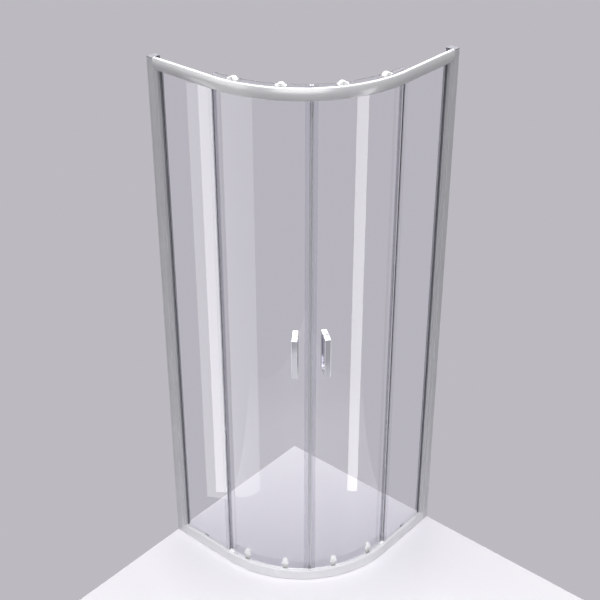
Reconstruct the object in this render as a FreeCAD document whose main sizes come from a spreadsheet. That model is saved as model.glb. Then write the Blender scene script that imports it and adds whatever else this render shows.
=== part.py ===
"""Quadrant shower enclosure with two fixed panels and two curved doors that slide apart from the middle.

Millimetres, +Z up, the tray's face at z = 0. The two walls stand at x = -side_length / 2 and y = +side_length / 2,
and the curved entrance faces +X and -Y. The enclosure is the same on both sides of the plane x = -y, so each piece
is made for the right-hand side and mirrored to the left.
"""
import FreeCAD, Part
import Sketcher
import math
import os
from types import SimpleNamespace

SIZES = dict(
    # The whole enclosure: its reach along each wall, the frame's height and the radius of its round front.
    side_length=700,
    frame_height=1950,
    corner_radius=425,
    # Rails: hollow sections, each a box at the front with a slot behind it for the fixed glass.
    rail_wall=1.6,
    box_depth=14.6,
    slot_width=6.4,
    top_rail_height=39,
    top_rail_depth=25,
    top_rail_bulge=2.4,
    top_slot_depth=12,
    track_front=12,
    track_drop=14.5,
    bottom_rail_height=40,
    bottom_rail_depth=34,
    bottom_rail_lean=2.3,
    ledge_height=18,
    slot_floor=3,
    # Wall profile: a channel that is screwed to the wall and hides the post's adjustment.
    profile_width=25,
    profile_depth=35,
    profile_wall=1.8,
    flute_width=1.2,
    flute_depth=0.6,
    flute_offset=7,
    flute_pitch=6,
    wall_hole_radius=2.75,
    wall_hole_end=150,
    cap_thickness=2,
    plug_depth=8,
    plug_wall=1.5,
    # Post: slides in the wall profile and grips the fixed glass.
    post_reveal=15,
    post_length=34,
    post_wall=1.6,
    groove_depth=12,
    slide_gap=0.4,
    # Screws of the frame.
    rail_screw_depth=7.6,
    rail_screw_radius=1.7,
    rail_screw_head=3.1,
    rail_screw_length=22,
    head_access=3.3,
    hole_clearance=0.2,
    pilot_length=24,
    adjust_end=250,
    adjust_from_wall=14,
    adjust_radius=2,
    adjust_length=9,
    pan_head_radius=4,
    pan_head_height=2.4,
    screw_cap_radius=6.5,
    screw_cap_height=4.6,
    screw_cap_wall=1.2,
    # Fixed glass and the rubber that holds it.
    fixed_glass=4,
    glass_play=2,
    free_edge_past=7,
    gasket_reveal=6,
    gasket_play=0.1,
    gasket_floor=0.9,
    edge_seal_wall=0.8,
    edge_seal_nose=2.5,
    edge_seal_grip=6,
    clip_length=19,
    clip_lead=24,
    clip_height=9,
    clip_width=7,
    clip_tongue=16,
    clip_gap=0.6,
    # Door glass: a cylinder's segment behind the rails.
    door_glass=4,
    door_clearance=9,
    door_bottom=22,
    door_above_rail=1,
    door_overlap=22,
    door_travel=185,
    seal_clear=3,
    # Seals on the doors' upright edges.
    seam_gap=0.3,
    magnet_box=5.5,
    magnet_reach=6.6,
    seal_wall=0.9,
    seal_grip=12,
    seal_fit=0.15,
    edge_set=1.4,
    fin_length=5,
    fin_thickness=0.8,
    fin_gap=0.6,
    # Rollers.
    roller_from_seam=90,
    roller_spacing=150,
    track_gap=0.3,
    seat_gap=0.3,
    plate_thickness=3.5,
    clamp_radius=3,
    clamp_clearance=0.15,
    clamp_hole=6,
    boss_clearance=0.3,
    clamp_head=6,
    clamp_head_height=2.5,
    clamp_cap_radius=9,
    clamp_cap_height=8,
    clamp_cap_wall=2,
    wheel_bore_play=0.06,
    top_clamp_below=11,
    top_plate_foot=14,
    top_plate_half=13,
    top_wheel_radius=11,
    top_wheel_width=5,
    top_axle_radius=2.5,
    hood_wall=2,
    hood_room=1.2,
    hood_side_room=1,
    hood_clearance=4.3,
    hood_lift=1,
    hood_foot=2.8,
    hood_foot_height=1.8,
    dome_inset=1.6,
    eye_height=5,
    eye_radius=2.8,
    eye_depth=0.8,
    ring_wall=1.4,
    ring_height=0.9,
    axle_head=1.8,
    axle_head_height=0.4,
    rim_width=2,
    web_recess=1,
    tread_chamfer=0.6,
    bottom_wheel_radius=9,
    bottom_wheel_width=3.8,
    bottom_axle_radius=2,
    wheel_spacer=0.8,
    bottom_clamp_height=62,
    bottom_plate_half=10,
    bottom_plate_foot=7,
    button_half=14,
    button_height=29,
    button_shoulder=7,
    button_top_half=4.5,
    button_depth=4.4,
    button_rounding=4,
    button_wall=1.6,
    button_eye=3,
    # Handles: a square bar on two arms, one outside and one inside each door.
    handle_from_seam=52,
    handle_foot=915,
    handle_height=152,
    handle_width=20,
    handle_reach=32.5,
    bar_thickness=10,
    arm_height=12,
    handle_rounding=2,
    washer_radius=8,
    washer_thickness=0.8,
    stud_radius=3,
    stud_grip=15,
    stud_hole=5.5,
    # Rubber stop at the end of the lower track.
    stop_length=14,
    stop_height=12,
    stop_inset=1.5,
    stop_gap=3,
)
WALL_HOLES = 4
ADJUST_SCREWS = 3
FLUTES = 2


class Size:
    """A number together with the expression that works it out from the spreadsheet."""

    def __init__(self, number, text):
        self.number = number
        self.text = text

    def __neg__(self):
        return Size(-self.number, f"(-{self.text})")

    def __add__(self, other):
        other = as_size(other)
        return Size(self.number + other.number, f"({self.text} + {other.text})")

    def __sub__(self, other):
        other = as_size(other)
        return Size(self.number - other.number, f"({self.text} - {other.text})")

    def __mul__(self, other):
        other = as_size(other)
        return Size(self.number * other.number, f"({self.text} * {other.text})")

    def __truediv__(self, other):
        other = as_size(other)
        return Size(self.number / other.number, f"({self.text} / {other.text})")

    def __rsub__(self, other):
        return as_size(other) - self

    def __rtruediv__(self, other):
        return as_size(other) / self

    __radd__ = __add__
    __rmul__ = __mul__


def as_size(value):
    return value if isinstance(value, Size) else Size(value, str(value))


def cosine(angle):
    return Size(math.cos(math.radians(angle.number)), f"cos({angle.text})")


def arc_radius(chord, rise):
    """The radius of the arc that rises this far above its chord."""
    return (chord * chord / 4 + rise * rise) / (2 * rise)


doc = FreeCAD.newDocument("shower_enclosure")
sheet = doc.addObject("Spreadsheet::Sheet", "Sizes")
for row, (alias, number) in enumerate(SIZES.items(), start=1):
    sheet.set(f"A{row}", alias)
    sheet.set(f"B{row}", str(number))
    sheet.setAlias(f"B{row}", alias)
doc.recompute()
d = SimpleNamespace(**{alias: Size(number, f"Sizes.{alias}") for alias, number in SIZES.items()})


# Drawing helpers -----------------------------------------------------------------------------------------------


def bind(thing, path, value):
    thing.setExpression(path, as_size(value).text)


def new_body(name):
    body = doc.addObject("PartDesign::Body", name)
    body.Label = name
    return body


def new_sketch(body, role, offset=0):
    """A sketch on one of the body's own planes, moved along the plane's normal."""
    sketch = body.newObject("Sketcher::SketchObject", f"{body.Name}_sketch")
    plane = next(item for item in body.Origin.OriginFeatures if item.Role == role)
    sketch.AttachmentSupport = [(plane, "")]
    sketch.MapMode = "FlatFace"
    bind(sketch, "AttachmentOffset.Base.z", offset)
    return sketch


def point(corner):
    return FreeCAD.Vector(as_size(corner[0]).number, as_size(corner[1]).number, 0)


def curve_between(start, end, radius):
    """The shorter arc from start to end, anticlockwise for a plain radius and clockwise for a negative one."""
    middle = (start + end) / 2
    chord = end - start
    left = FreeCAD.Vector(-chord.y, chord.x, 0) / chord.Length
    side = math.copysign(1, radius)
    depth = math.sqrt(max(radius * radius - chord.Length * chord.Length / 4, 0))
    crown = middle - left * side * (abs(radius) - depth)
    return Part.Arc(start, crown, end)


def hold(sketch, kind, value, *where):
    number = sketch.addConstraint(Sketcher.Constraint(kind, *where, as_size(value).number))
    bind(sketch, f"Constraints[{number}]", value)


def draw(sketch, corners, closed=True):
    """Edges from corner to corner, each corner held by its two distances from the origin.

    A corner is (x, y), or (x, y, radius) where an arc leads to the next one.
    """
    edges = []
    for index in range(len(corners) if closed else len(corners) - 1):
        corner = corners[index]
        start, end = point(corner), point(corners[(index + 1) % len(corners)])
        radius = as_size(corner[2]) if len(corner) > 2 else None
        if radius:
            number = sketch.addGeometry(curve_between(start, end, radius.number))
            hold(sketch, "Radius", radius if radius.number > 0 else -radius, number)
        else:
            number = sketch.addGeometry(Part.LineSegment(start, end))
        backwards = radius is not None and radius.number < 0
        edges.append((number, 2, 1) if backwards else (number, 1, 2))
    for index, (number, _, last) in enumerate(edges):
        if closed or index + 1 < len(edges):
            after, first, _ = edges[(index + 1) % len(edges)]
            sketch.addConstraint(Sketcher.Constraint("Coincident", number, last, after, first))
    ends = [(number, first) for number, first, _ in edges]
    if not closed:
        ends.append((edges[-1][0], edges[-1][2]))
    for (number, end), corner in zip(ends, corners):
        hold(sketch, "DistanceX", corner[0], -1, 1, number, end)
        hold(sketch, "DistanceY", corner[1], -1, 1, number, end)


def draw_circle(sketch, centre, radius):
    number = sketch.addGeometry(Part.Circle(point(centre), FreeCAD.Vector(0, 0, 1), as_size(radius).number))
    hold(sketch, "Radius", radius, number)
    hold(sketch, "DistanceX", centre[0], -1, 1, number, 3)
    hold(sketch, "DistanceY", centre[1], -1, 1, number, 3)


def rectangle(left, right, low, high):
    return [(left, low), (right, low), (right, high), (left, high)]


def pad(body, sketch, length, backwards=False, both_ways=False):
    feature = body.newObject("PartDesign::Pad", f"{body.Name}_pad")
    feature.Profile = sketch
    feature.SideType = "Symmetric" if both_ways else "One side"
    feature.Reversed = backwards
    bind(feature, "Length", length)
    return feature


def pocket(body, sketch, length, backwards=False):
    """Cuts against the sketch's normal, or along it when turned backwards."""
    feature = body.newObject("PartDesign::Pocket", f"{body.Name}_pocket")
    feature.Profile = sketch
    feature.Reversed = backwards
    bind(feature, "Length", length)
    return feature


def revolve(body, corners):
    """Turns an outline in the body's XY plane about its X axis."""
    sketch = new_sketch(body, "XY_Plane")
    draw(sketch, corners)
    feature = body.newObject("PartDesign::Revolution", f"{body.Name}_turned")
    feature.Profile = sketch
    feature.ReferenceAxis = (sketch, ["H_Axis"])
    feature.Angle = 360
    return feature


def round_edges(body, feature, radius, chosen):
    """Rounds the feature's edges for which chosen(edge) is true."""
    doc.recompute()
    names = [f"Edge{n}" for n, edge in enumerate(feature.Shape.Edges, start=1) if chosen(edge)]
    rounding = body.newObject("PartDesign::Fillet", f"{body.Name}_rounding")
    rounding.Base = (feature, names)
    bind(rounding, "Radius", radius)


def stand(thing, x, y, z, yaw=0, pitch=0):
    """Sets a piece down at a point, turned about Z by yaw and before that about Y by pitch."""
    x, y, z, yaw, pitch = (as_size(value).text for value in (x, y, z, yaw, pitch))
    thing.setExpression("Placement", f"placement(vector({x}; {y}; {z}); rotation({yaw}; {pitch}; 0))")


def on_arc(thing, angle, z=0):
    """Puts a piece drawn with X as the radius at this polar angle about the round front's centre."""
    stand(thing, centre_x, centre_y, z, yaw=angle)


def group(name, pieces):
    compound = doc.addObject("Part::Compound", name)
    compound.Label = name
    compound.Links = pieces
    return compound


def mirrored(name, piece):
    """The left-hand twin of a right-hand piece, across the plane x = -y."""
    twin = doc.addObject("Part::Mirroring", name)
    twin.Label = name
    twin.Source = piece
    twin.Normal = FreeCAD.Vector(1, 1, 0)
    return twin


nodes = []


def both_sides(piece, name):
    """Keeps a right-hand piece and its left-hand twin as two nodes."""
    piece.Label = f"{name}_right"
    nodes.extend([piece, mirrored(f"{name}_left", piece)])


def one_node(name, pieces):
    """Keeps like pieces of both sides as one node."""
    right = group(f"{name}_of_right", pieces)
    nodes.append(group(name, [right, mirrored(f"{name}_of_left", right)]))


# Places that several pieces share -----------------------------------------------------------------------------

half = d.side_length / 2
centre_x = half - d.corner_radius
centre_y = d.corner_radius - half
rail_end = half - d.profile_width
post_front = rail_end - d.post_reveal
slot_outer = half - d.box_depth
slot_inner = slot_outer - d.slot_width
top_rail_low = d.frame_height - d.top_rail_height
fixed_middle = slot_outer - d.slot_width / 2
fixed_outer = fixed_middle + d.fixed_glass / 2
fixed_inner = fixed_middle - d.fixed_glass / 2
free_edge = centre_y + d.free_edge_past
fixed_low = d.slot_floor + d.glass_play
fixed_high = top_rail_low + d.top_slot_depth - d.glass_play
rail_screw_x = half - d.rail_screw_depth
rail_screw_y = rail_end - d.post_reveal / 2
adjust_y = half - d.adjust_from_wall
wall_hole_pitch = (d.frame_height - 2 * d.wall_hole_end) / (WALL_HOLES - 1)
adjust_pitch = (d.frame_height - 2 * d.adjust_end) / (ADJUST_SCREWS - 1)
door_outer = d.corner_radius - d.top_rail_depth - d.door_clearance
door_inner = door_outer - d.door_glass
door_middle = door_outer - d.door_glass / 2
pi = Size(math.pi, "pi")
degrees_per_mm = 180 / (pi * door_middle)


# Rails: one hollow section each, swept from wall profile to wall profile --------------------------------------


def sweep_rail(name, outlines):
    """Sweeps an outline and its hollow chambers along straight, quarter circle and straight."""
    body = new_body(name)
    path = new_sketch(body, "XY_Plane")
    bend = [(half, centre_y, -d.corner_radius), (centre_x, -half)]
    draw(path, [(half, rail_end), *bend, (-rail_end, -half)], closed=False)
    section = new_sketch(body, "XZ_Plane", -rail_end)
    for corners in outlines:
        draw(section, corners)
    pipe = body.newObject("PartDesign::AdditivePipe", f"{name}_pipe")
    pipe.Profile = section
    pipe.Spine = (path, [])
    return body


def drill_rail(body, face, depth, radius):
    """Two upright holes for the screws that hold the rail's ends to the posts."""
    sketch = new_sketch(body, "XY_Plane", face)
    draw_circle(sketch, (rail_screw_x, rail_screw_y), radius)
    draw_circle(sketch, (-rail_screw_y, -rail_screw_x), radius)
    pocket(body, sketch, depth)


screw_hole = d.rail_screw_radius + d.hole_clearance

face_x = half - d.top_rail_bulge
track = d.top_rail_height - d.track_drop
top_outer = [
    (face_x, 0, arc_radius(d.top_rail_height, d.top_rail_bulge)),
    (face_x, d.top_rail_height),
    (half - d.track_front, d.top_rail_height),
    (half - d.track_front, track),
    (half - d.top_rail_depth, track),
    (half - d.top_rail_depth, 0),
    (slot_inner, 0),
    (slot_inner, d.top_slot_depth),
    (slot_outer, d.top_slot_depth),
    (slot_outer, 0),
]
top_chamber = [
    (face_x - d.rail_wall, d.rail_wall),
    (face_x - d.rail_wall, d.top_rail_height - d.rail_wall),
    (half - d.track_front + d.rail_wall, d.top_rail_height - d.rail_wall),
    (half - d.track_front + d.rail_wall, track - d.rail_wall),
    (half - d.top_rail_depth + d.rail_wall, track - d.rail_wall),
    (half - d.top_rail_depth + d.rail_wall, d.top_slot_depth + d.rail_wall),
    (slot_outer + d.rail_wall, d.top_slot_depth + d.rail_wall),
    (slot_outer + d.rail_wall, d.rail_wall),
]
top_rail = sweep_rail("top_rail", [top_outer, top_chamber])
drill_rail(top_rail, d.top_rail_height, d.rail_wall, d.head_access)
drill_rail(top_rail, d.rail_wall, d.rail_wall, screw_hole)
stand(top_rail, 0, 0, top_rail_low)
nodes.append(top_rail)

lean_x = half - d.bottom_rail_lean
ledge_x = half - d.bottom_rail_depth
bottom_outer = [
    (half, 0),
    (lean_x, d.bottom_rail_height),
    (slot_outer, d.bottom_rail_height),
    (slot_outer, d.slot_floor),
    (slot_inner, d.slot_floor),
    (slot_inner, d.ledge_height),
    (ledge_x, d.ledge_height),
    (ledge_x, 0),
]
box_chamber = rectangle(
    slot_outer + d.rail_wall, lean_x - d.rail_wall, d.rail_wall, d.bottom_rail_height - d.rail_wall
)
ledge_chamber = rectangle(
    ledge_x + d.rail_wall, slot_inner - d.rail_wall, d.rail_wall, d.ledge_height - d.rail_wall
)
bottom_rail = sweep_rail("bottom_rail", [bottom_outer, box_chamber, ledge_chamber])
drill_rail(bottom_rail, d.rail_wall, d.rail_wall, d.head_access)
drill_rail(bottom_rail, d.bottom_rail_height, d.rail_wall, screw_hole)
nodes.append(bottom_rail)


# Wall profile, its end cap and the post that slides in it ------------------------------------------------------

wall_profile = new_body("wall_profile")
profile_inner = half - d.profile_depth
channel = [
    (half, half),
    (profile_inner, half),
    (profile_inner, rail_end),
    (profile_inner + d.profile_wall, rail_end),
    (profile_inner + d.profile_wall, half - d.profile_wall),
    (half - d.profile_wall, half - d.profile_wall),
    (half - d.profile_wall, rail_end),
    (half, rail_end),
]
for flute in range(FLUTES):
    flute_y = rail_end + d.flute_offset + flute * d.flute_pitch
    channel += [
        (half, flute_y - d.flute_width / 2),
        (half - d.flute_depth, flute_y),
        (half, flute_y + d.flute_width / 2),
    ]
outline = new_sketch(wall_profile, "XY_Plane")
draw(outline, channel)
pad(wall_profile, outline, d.frame_height - d.cap_thickness)

holes = new_sketch(wall_profile, "XZ_Plane", d.profile_wall - half)
for hole in range(WALL_HOLES):
    height = d.wall_hole_end + hole * wall_hole_pitch
    draw_circle(holes, (half - d.profile_depth / 2, height), d.wall_hole_radius)
pocket(wall_profile, holes, d.profile_wall)


def drill_adjustment(body, face, depth, radius):
    sketch = new_sketch(body, "YZ_Plane", face)
    for screw in range(ADJUST_SCREWS):
        draw_circle(sketch, (adjust_y, d.adjust_end + screw * adjust_pitch), radius)
    pocket(body, sketch, depth)


drill_adjustment(
    wall_profile, profile_inner + d.profile_wall, d.profile_wall, d.adjust_radius + d.hole_clearance
)
both_sides(wall_profile, "wall_profile")

top_cap = new_body("top_cap")
lid = new_sketch(top_cap, "XY_Plane", d.frame_height - d.cap_thickness)
draw(lid, rectangle(profile_inner, half, rail_end, half))
pad(top_cap, lid, d.cap_thickness)
plug_wall = d.profile_wall + d.slide_gap
plug = new_sketch(top_cap, "XY_Plane", d.frame_height - d.cap_thickness)
draw(plug, rectangle(profile_inner + plug_wall, half - plug_wall, rail_end + plug_wall, half - plug_wall))
hollow = plug_wall + d.plug_wall
draw(plug, rectangle(profile_inner + hollow, half - hollow, rail_end + hollow, half - hollow))
pad(top_cap, plug, d.plug_depth, backwards=True)
both_sides(top_cap, "top_cap")

frame_post = new_body("frame_post")
post_low = d.bottom_rail_height
post_outer = half - d.profile_wall - d.slide_gap
post_inner = profile_inner + d.profile_wall + d.slide_gap
post_back = post_front + d.post_length
groove_end = post_front + d.groove_depth
outline = new_sketch(frame_post, "XY_Plane", post_low)
draw(outline, [
    (post_outer, post_front),
    (post_outer, post_back),
    (post_inner, post_back),
    (post_inner, post_front),
    (slot_inner, post_front),
    (slot_inner, groove_end),
    (slot_outer, groove_end),
    (slot_outer, post_front),
])
draw(outline, rectangle(
    post_inner + d.post_wall, post_outer - d.post_wall, groove_end + d.post_wall, post_back - d.post_wall
))
draw(outline, rectangle(
    post_inner + d.post_wall, slot_inner - d.post_wall, post_front + d.post_wall, groove_end
))
pad(frame_post, outline, top_rail_low - post_low)
pilot = new_sketch(frame_post, "XY_Plane", top_rail_low)
draw_circle(pilot, (rail_screw_x, rail_screw_y), screw_hole)
pocket(frame_post, pilot, d.pilot_length)
pilot = new_sketch(frame_post, "XY_Plane", post_low)
draw_circle(pilot, (rail_screw_x, rail_screw_y), screw_hole)
pocket(frame_post, pilot, d.pilot_length, backwards=True)
drill_adjustment(frame_post, post_inner + d.post_wall, d.post_wall, d.adjust_radius + d.hole_clearance)
both_sides(frame_post, "frame_post")


# Screws of the frame -------------------------------------------------------------------------------------------


def pan_screw(name, head_radius, head_height, radius, length):
    """A screw along X whose head sits against x = 0 from the minus side."""
    body = new_body(name)
    revolve(body, [
        (-head_height, 0),
        (-head_height, head_radius * 0.7),
        (-head_height / 3, head_radius),
        (0, head_radius),
        (0, radius),
        (length - radius, radius),
        (length, radius / 2),
        (length, 0),
    ])
    return body


rail_screws = []
for place, height, pitch in (("top", top_rail_low + d.rail_wall, 90), ("bottom", post_low - d.rail_wall, -90)):
    screw = pan_screw(
        f"{place}_rail_screw", d.rail_screw_head, d.pan_head_height, d.rail_screw_radius, d.rail_screw_length
    )
    stand(screw, rail_screw_x, rail_screw_y, height, pitch=pitch)
    rail_screws.append(screw)
one_node("rail_screws", rail_screws)

adjust_screws = []
screw_caps = []
for number in range(ADJUST_SCREWS):
    height = d.adjust_end + number * adjust_pitch
    screw = pan_screw(
        f"adjust_screw_{number}", d.pan_head_radius, d.pan_head_height, d.adjust_radius, d.adjust_length
    )
    stand(screw, profile_inner, adjust_y, height)
    adjust_screws.append(screw)
    cap = new_body(f"screw_cap_{number}")
    cap_bore = d.screw_cap_radius - d.screw_cap_wall
    revolve(cap, [
        (0, cap_bore),
        (0, d.screw_cap_radius),
        (-d.screw_cap_height / 2, d.screw_cap_radius),
        (-d.screw_cap_height, d.screw_cap_radius * 0.6),
        (-d.screw_cap_height, 0),
        (d.screw_cap_wall - d.screw_cap_height, 0),
        (d.screw_cap_wall - d.screw_cap_height, cap_bore * 0.6),
        (-d.screw_cap_height / 2, cap_bore),
    ])
    stand(cap, profile_inner, adjust_y, height)
    screw_caps.append(cap)
one_node("adjust_screws", adjust_screws)
one_node("screw_caps", screw_caps)


# Fixed glass with its gaskets, edge seal and foot clip ---------------------------------------------------------


def upright(name, corners, low, high):
    """A plan outline raised from one height to another."""
    body = new_body(name)
    sketch = new_sketch(body, "XY_Plane", low)
    draw(sketch, corners)
    pad(body, sketch, high - low)
    return body


glass_back = groove_end - d.gasket_floor - d.gasket_play
fixed_glass = upright("fixed_glass", rectangle(fixed_inner, fixed_outer, free_edge, glass_back), fixed_low, fixed_high)
both_sides(fixed_glass, "fixed_glass")

bite = d.gasket_play / 2
post_gasket = upright(
    "post_gasket",
    [
        (slot_inner + d.gasket_play, post_front - d.gasket_reveal),
        (fixed_inner - bite, post_front - d.gasket_reveal),
        (fixed_inner - bite, glass_back + bite),
        (fixed_outer + bite, glass_back + bite),
        (fixed_outer + bite, post_front - d.gasket_reveal),
        (slot_outer - d.gasket_play, post_front - d.gasket_reveal),
        (slot_outer - d.gasket_play, groove_end - bite),
        (slot_inner + d.gasket_play, groove_end - bite),
    ],
    post_low + d.gasket_play,
    top_rail_low - d.gasket_play,
)
both_sides(post_gasket, "post_gasket")


def rail_gasket(name, floor, mouth, glass):
    """A rubber channel between the glass's level edge and the slot, open towards the mouth."""
    body = new_body(name)
    section = new_sketch(body, "XZ_Plane", d.gasket_reveal + d.gasket_play - post_front)
    draw(section, [
        (slot_inner + d.gasket_play, mouth),
        (slot_inner + d.gasket_play, floor),
        (slot_outer - d.gasket_play, floor),
        (slot_outer - d.gasket_play, mouth),
        (fixed_outer + bite, mouth),
        (fixed_outer + bite, glass),
        (fixed_inner - bite, glass),
        (fixed_inner - bite, mouth),
    ])
    start = free_edge + d.edge_seal_grip + d.gasket_play
    pad(body, section, post_front - d.gasket_reveal - d.gasket_play - start)
    return body


one_node("rail_gaskets", [
    rail_gasket("bottom_gasket", d.slot_floor + bite, d.ledge_height - bite, fixed_low - bite),
    rail_gasket("top_gasket", top_rail_low + d.top_slot_depth - bite, top_rail_low + bite, fixed_high + bite),
])

seal_back = free_edge + d.edge_seal_grip
seal_front = free_edge - d.edge_seal_nose
edge_seal = upright(
    "edge_seal",
    [
        (fixed_inner - d.edge_seal_wall, seal_back),
        (fixed_inner - d.edge_seal_wall, seal_front),
        (fixed_outer + d.edge_seal_wall, seal_front),
        (fixed_outer + d.edge_seal_wall, seal_back),
        (fixed_outer + bite, seal_back),
        (fixed_outer + bite, free_edge - bite),
        (fixed_inner - bite, free_edge - bite),
        (fixed_inner - bite, seal_back),
    ],
    d.ledge_height + d.gasket_play,
    top_rail_low - d.gasket_play,
)
both_sides(edge_seal, "edge_seal")

glass_clip = new_body("glass_clip")
section = new_sketch(glass_clip, "XZ_Plane", d.clip_lead - d.clip_length - free_edge)
clip_back = slot_outer - d.clip_gap
clip_inner = fixed_middle - d.clip_gap
clip_top = d.bottom_rail_height + d.clip_height
draw(section, [
    (clip_inner, d.bottom_rail_height - d.clip_tongue),
    (clip_back, d.bottom_rail_height - d.clip_tongue),
    (clip_back, d.bottom_rail_height),
    (clip_back + d.clip_width, d.bottom_rail_height),
    (clip_back + d.clip_width, d.bottom_rail_height + d.clip_height / 2, d.clip_height / 2),
    (clip_back + d.clip_width - d.clip_height / 2, clip_top),
    (clip_inner, clip_top),
])
pad(glass_clip, section, d.clip_length)
one_node("glass_clips", [glass_clip])


# Rubber stop that ends the lower track -------------------------------------------------------------------------

roller_run = d.roller_from_seam + d.roller_spacing + d.door_travel - pi * door_middle / 4
stop_front = centre_y + roller_run + d.button_half + d.stop_gap
stop_block = upright(
    "stop_block",
    rectangle(ledge_x + d.stop_inset, slot_inner - d.stop_inset, stop_front, stop_front + d.stop_length),
    d.ledge_height,
    d.ledge_height + d.stop_height,
)
one_node("door_stops", [stop_block])


# Door glass: a segment of a tall cylinder with holes for rollers and handles -----------------------------------

door_top = d.frame_height + d.door_above_rail
glass_edge = d.magnet_reach + d.edge_set
seam_angle = as_size(-45)
door_start = seam_angle + glass_edge * degrees_per_mm
door_end = d.door_overlap * degrees_per_mm
roller_angles = [
    seam_angle + (d.roller_from_seam + turn * d.roller_spacing) * degrees_per_mm for turn in range(2)
]
handle_angle = seam_angle + d.handle_from_seam * degrees_per_mm
top_clamp = d.frame_height - d.top_clamp_below
handle_top = d.handle_foot + d.handle_height
stud_heights = [d.handle_foot + d.arm_height / 2, handle_top - d.arm_height / 2]


def cylinder(name, radius, height, sweep=360):
    solid = doc.addObject("Part::Cylinder", name)
    bind(solid, "Radius", radius)
    bind(solid, "Height", height)
    bind(solid, "Angle", sweep)
    return solid


def radial_pin(name, radius, start, length, angle, height):
    """A cylinder that points away from the round front's centre, from one radius outwards."""
    solid = cylinder(name, radius, length)
    sine = cosine(angle - 90)
    stand(solid, centre_x + start * cosine(angle), centre_y + start * sine, height, yaw=angle, pitch=90)
    return solid


def cut(name, base, tools):
    """The base less one or more tools."""
    tool = tools[0]
    if len(tools) > 1:
        tool = doc.addObject("Part::MultiFuse", f"{name}_tools")
        tool.Shapes = tools
    result = doc.addObject("Part::Cut", name)
    result.Base = base
    result.Tool = tool
    return result


outer_wall = cylinder("door_glass_outer", door_outer, door_top - d.door_bottom, door_end - door_start)
stand(outer_wall, centre_x, centre_y, d.door_bottom, yaw=door_start)
inner_wall = cylinder("door_glass_inner", door_inner, door_top - d.door_bottom)
stand(inner_wall, centre_x, centre_y, d.door_bottom)
drill_start = door_inner - d.door_glass
drill_length = 3 * d.door_glass
drills = []
for number, angle in enumerate(roller_angles, start=1):
    for place, height in (("top", top_clamp), ("bottom", d.bottom_clamp_height)):
        name = f"{place}_clamp_drill_{number}"
        drills.append(radial_pin(name, d.clamp_hole, drill_start, drill_length, angle, height))
for number, height in enumerate(stud_heights, start=1):
    name = f"stud_drill_{number}"
    drills.append(radial_pin(name, d.stud_hole, drill_start, drill_length, handle_angle, height))
both_sides(cut("door_glass", outer_wall, [inner_wall, *drills]), "door_glass")


# Seals on the door's upright edges -----------------------------------------------------------------------------


def drop(along):
    """How far the door's curve falls away from its tangent after this length."""
    return along * along / (2 * door_middle)


seal_low = d.door_bottom + d.seal_clear
seal_high = door_top - d.seal_clear
leg_outer = door_outer + d.seal_fit
leg_inner = door_inner - d.seal_fit
leg_end = glass_edge + d.seal_grip
pocket_floor = glass_edge - d.seal_fit

magnet_carrier = upright(
    "magnet_carrier",
    [
        (door_middle - d.magnet_box, d.seam_gap),
        (door_middle + d.magnet_box, d.seam_gap),
        (door_middle + d.magnet_box, d.magnet_reach),
        (leg_outer + d.seal_wall - drop(d.magnet_reach), d.magnet_reach),
        (leg_outer + d.seal_wall - drop(leg_end), leg_end),
        (leg_outer - drop(leg_end), leg_end),
        (leg_outer - drop(pocket_floor), pocket_floor),
        (leg_inner - drop(pocket_floor), pocket_floor),
        (leg_inner - drop(leg_end), leg_end),
        (leg_inner - d.seal_wall - drop(leg_end), leg_end),
        (leg_inner - d.seal_wall - drop(d.magnet_reach), d.magnet_reach),
        (door_middle - d.magnet_box, d.magnet_reach),
    ],
    seal_low,
    seal_high,
)
magnet_room = d.magnet_box - d.seal_wall
cavity = new_sketch(magnet_carrier, "XY_Plane", seal_high)
draw(cavity, rectangle(
    door_middle - magnet_room,
    door_middle + magnet_room,
    d.seam_gap + d.seal_wall,
    d.magnet_reach - d.seal_wall,
))
pocket(magnet_carrier, cavity, seal_high - seal_low)
on_arc(magnet_carrier, seam_angle)
both_sides(magnet_carrier, "magnet_carrier")

magnet_half = magnet_room - d.seal_fit
magnet_strip = upright(
    "magnet_strip",
    rectangle(
        door_middle - magnet_half,
        door_middle + magnet_half,
        d.seam_gap + d.seal_wall + d.seal_fit,
        d.magnet_reach - d.seal_wall - d.seal_fit,
    ),
    seal_low,
    seal_high,
)
on_arc(magnet_strip, seam_angle)
both_sides(magnet_strip, "magnet_strip")

fin_root = leg_outer + d.seal_wall
fin_tip = (fixed_inner - centre_x - d.fin_gap) / cosine(door_end)
rear_seal = upright(
    "rear_seal",
    [
        (leg_inner - d.seal_wall - drop(d.seal_grip), -d.seal_grip),
        (leg_inner - drop(d.seal_grip), -d.seal_grip),
        (leg_inner, d.seal_fit),
        (leg_outer, d.seal_fit),
        (leg_outer - drop(d.seal_grip), -d.seal_grip),
        (fin_root - drop(d.seal_grip), -d.seal_grip),
        (fin_root, d.edge_set - d.fin_thickness),
        (fin_tip, d.edge_set - d.fin_thickness + d.fin_length),
        (fin_tip, d.edge_set + d.fin_length),
        (fin_root, d.edge_set),
        (leg_inner - d.seal_wall, d.edge_set),
    ],
    seal_low,
    top_rail_low - d.seal_clear,
)
on_arc(rear_seal, door_end)
both_sides(rear_seal, "rear_seal")


# Handles: square bars on two arms, held to each other through the glass ----------------------------------------


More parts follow.
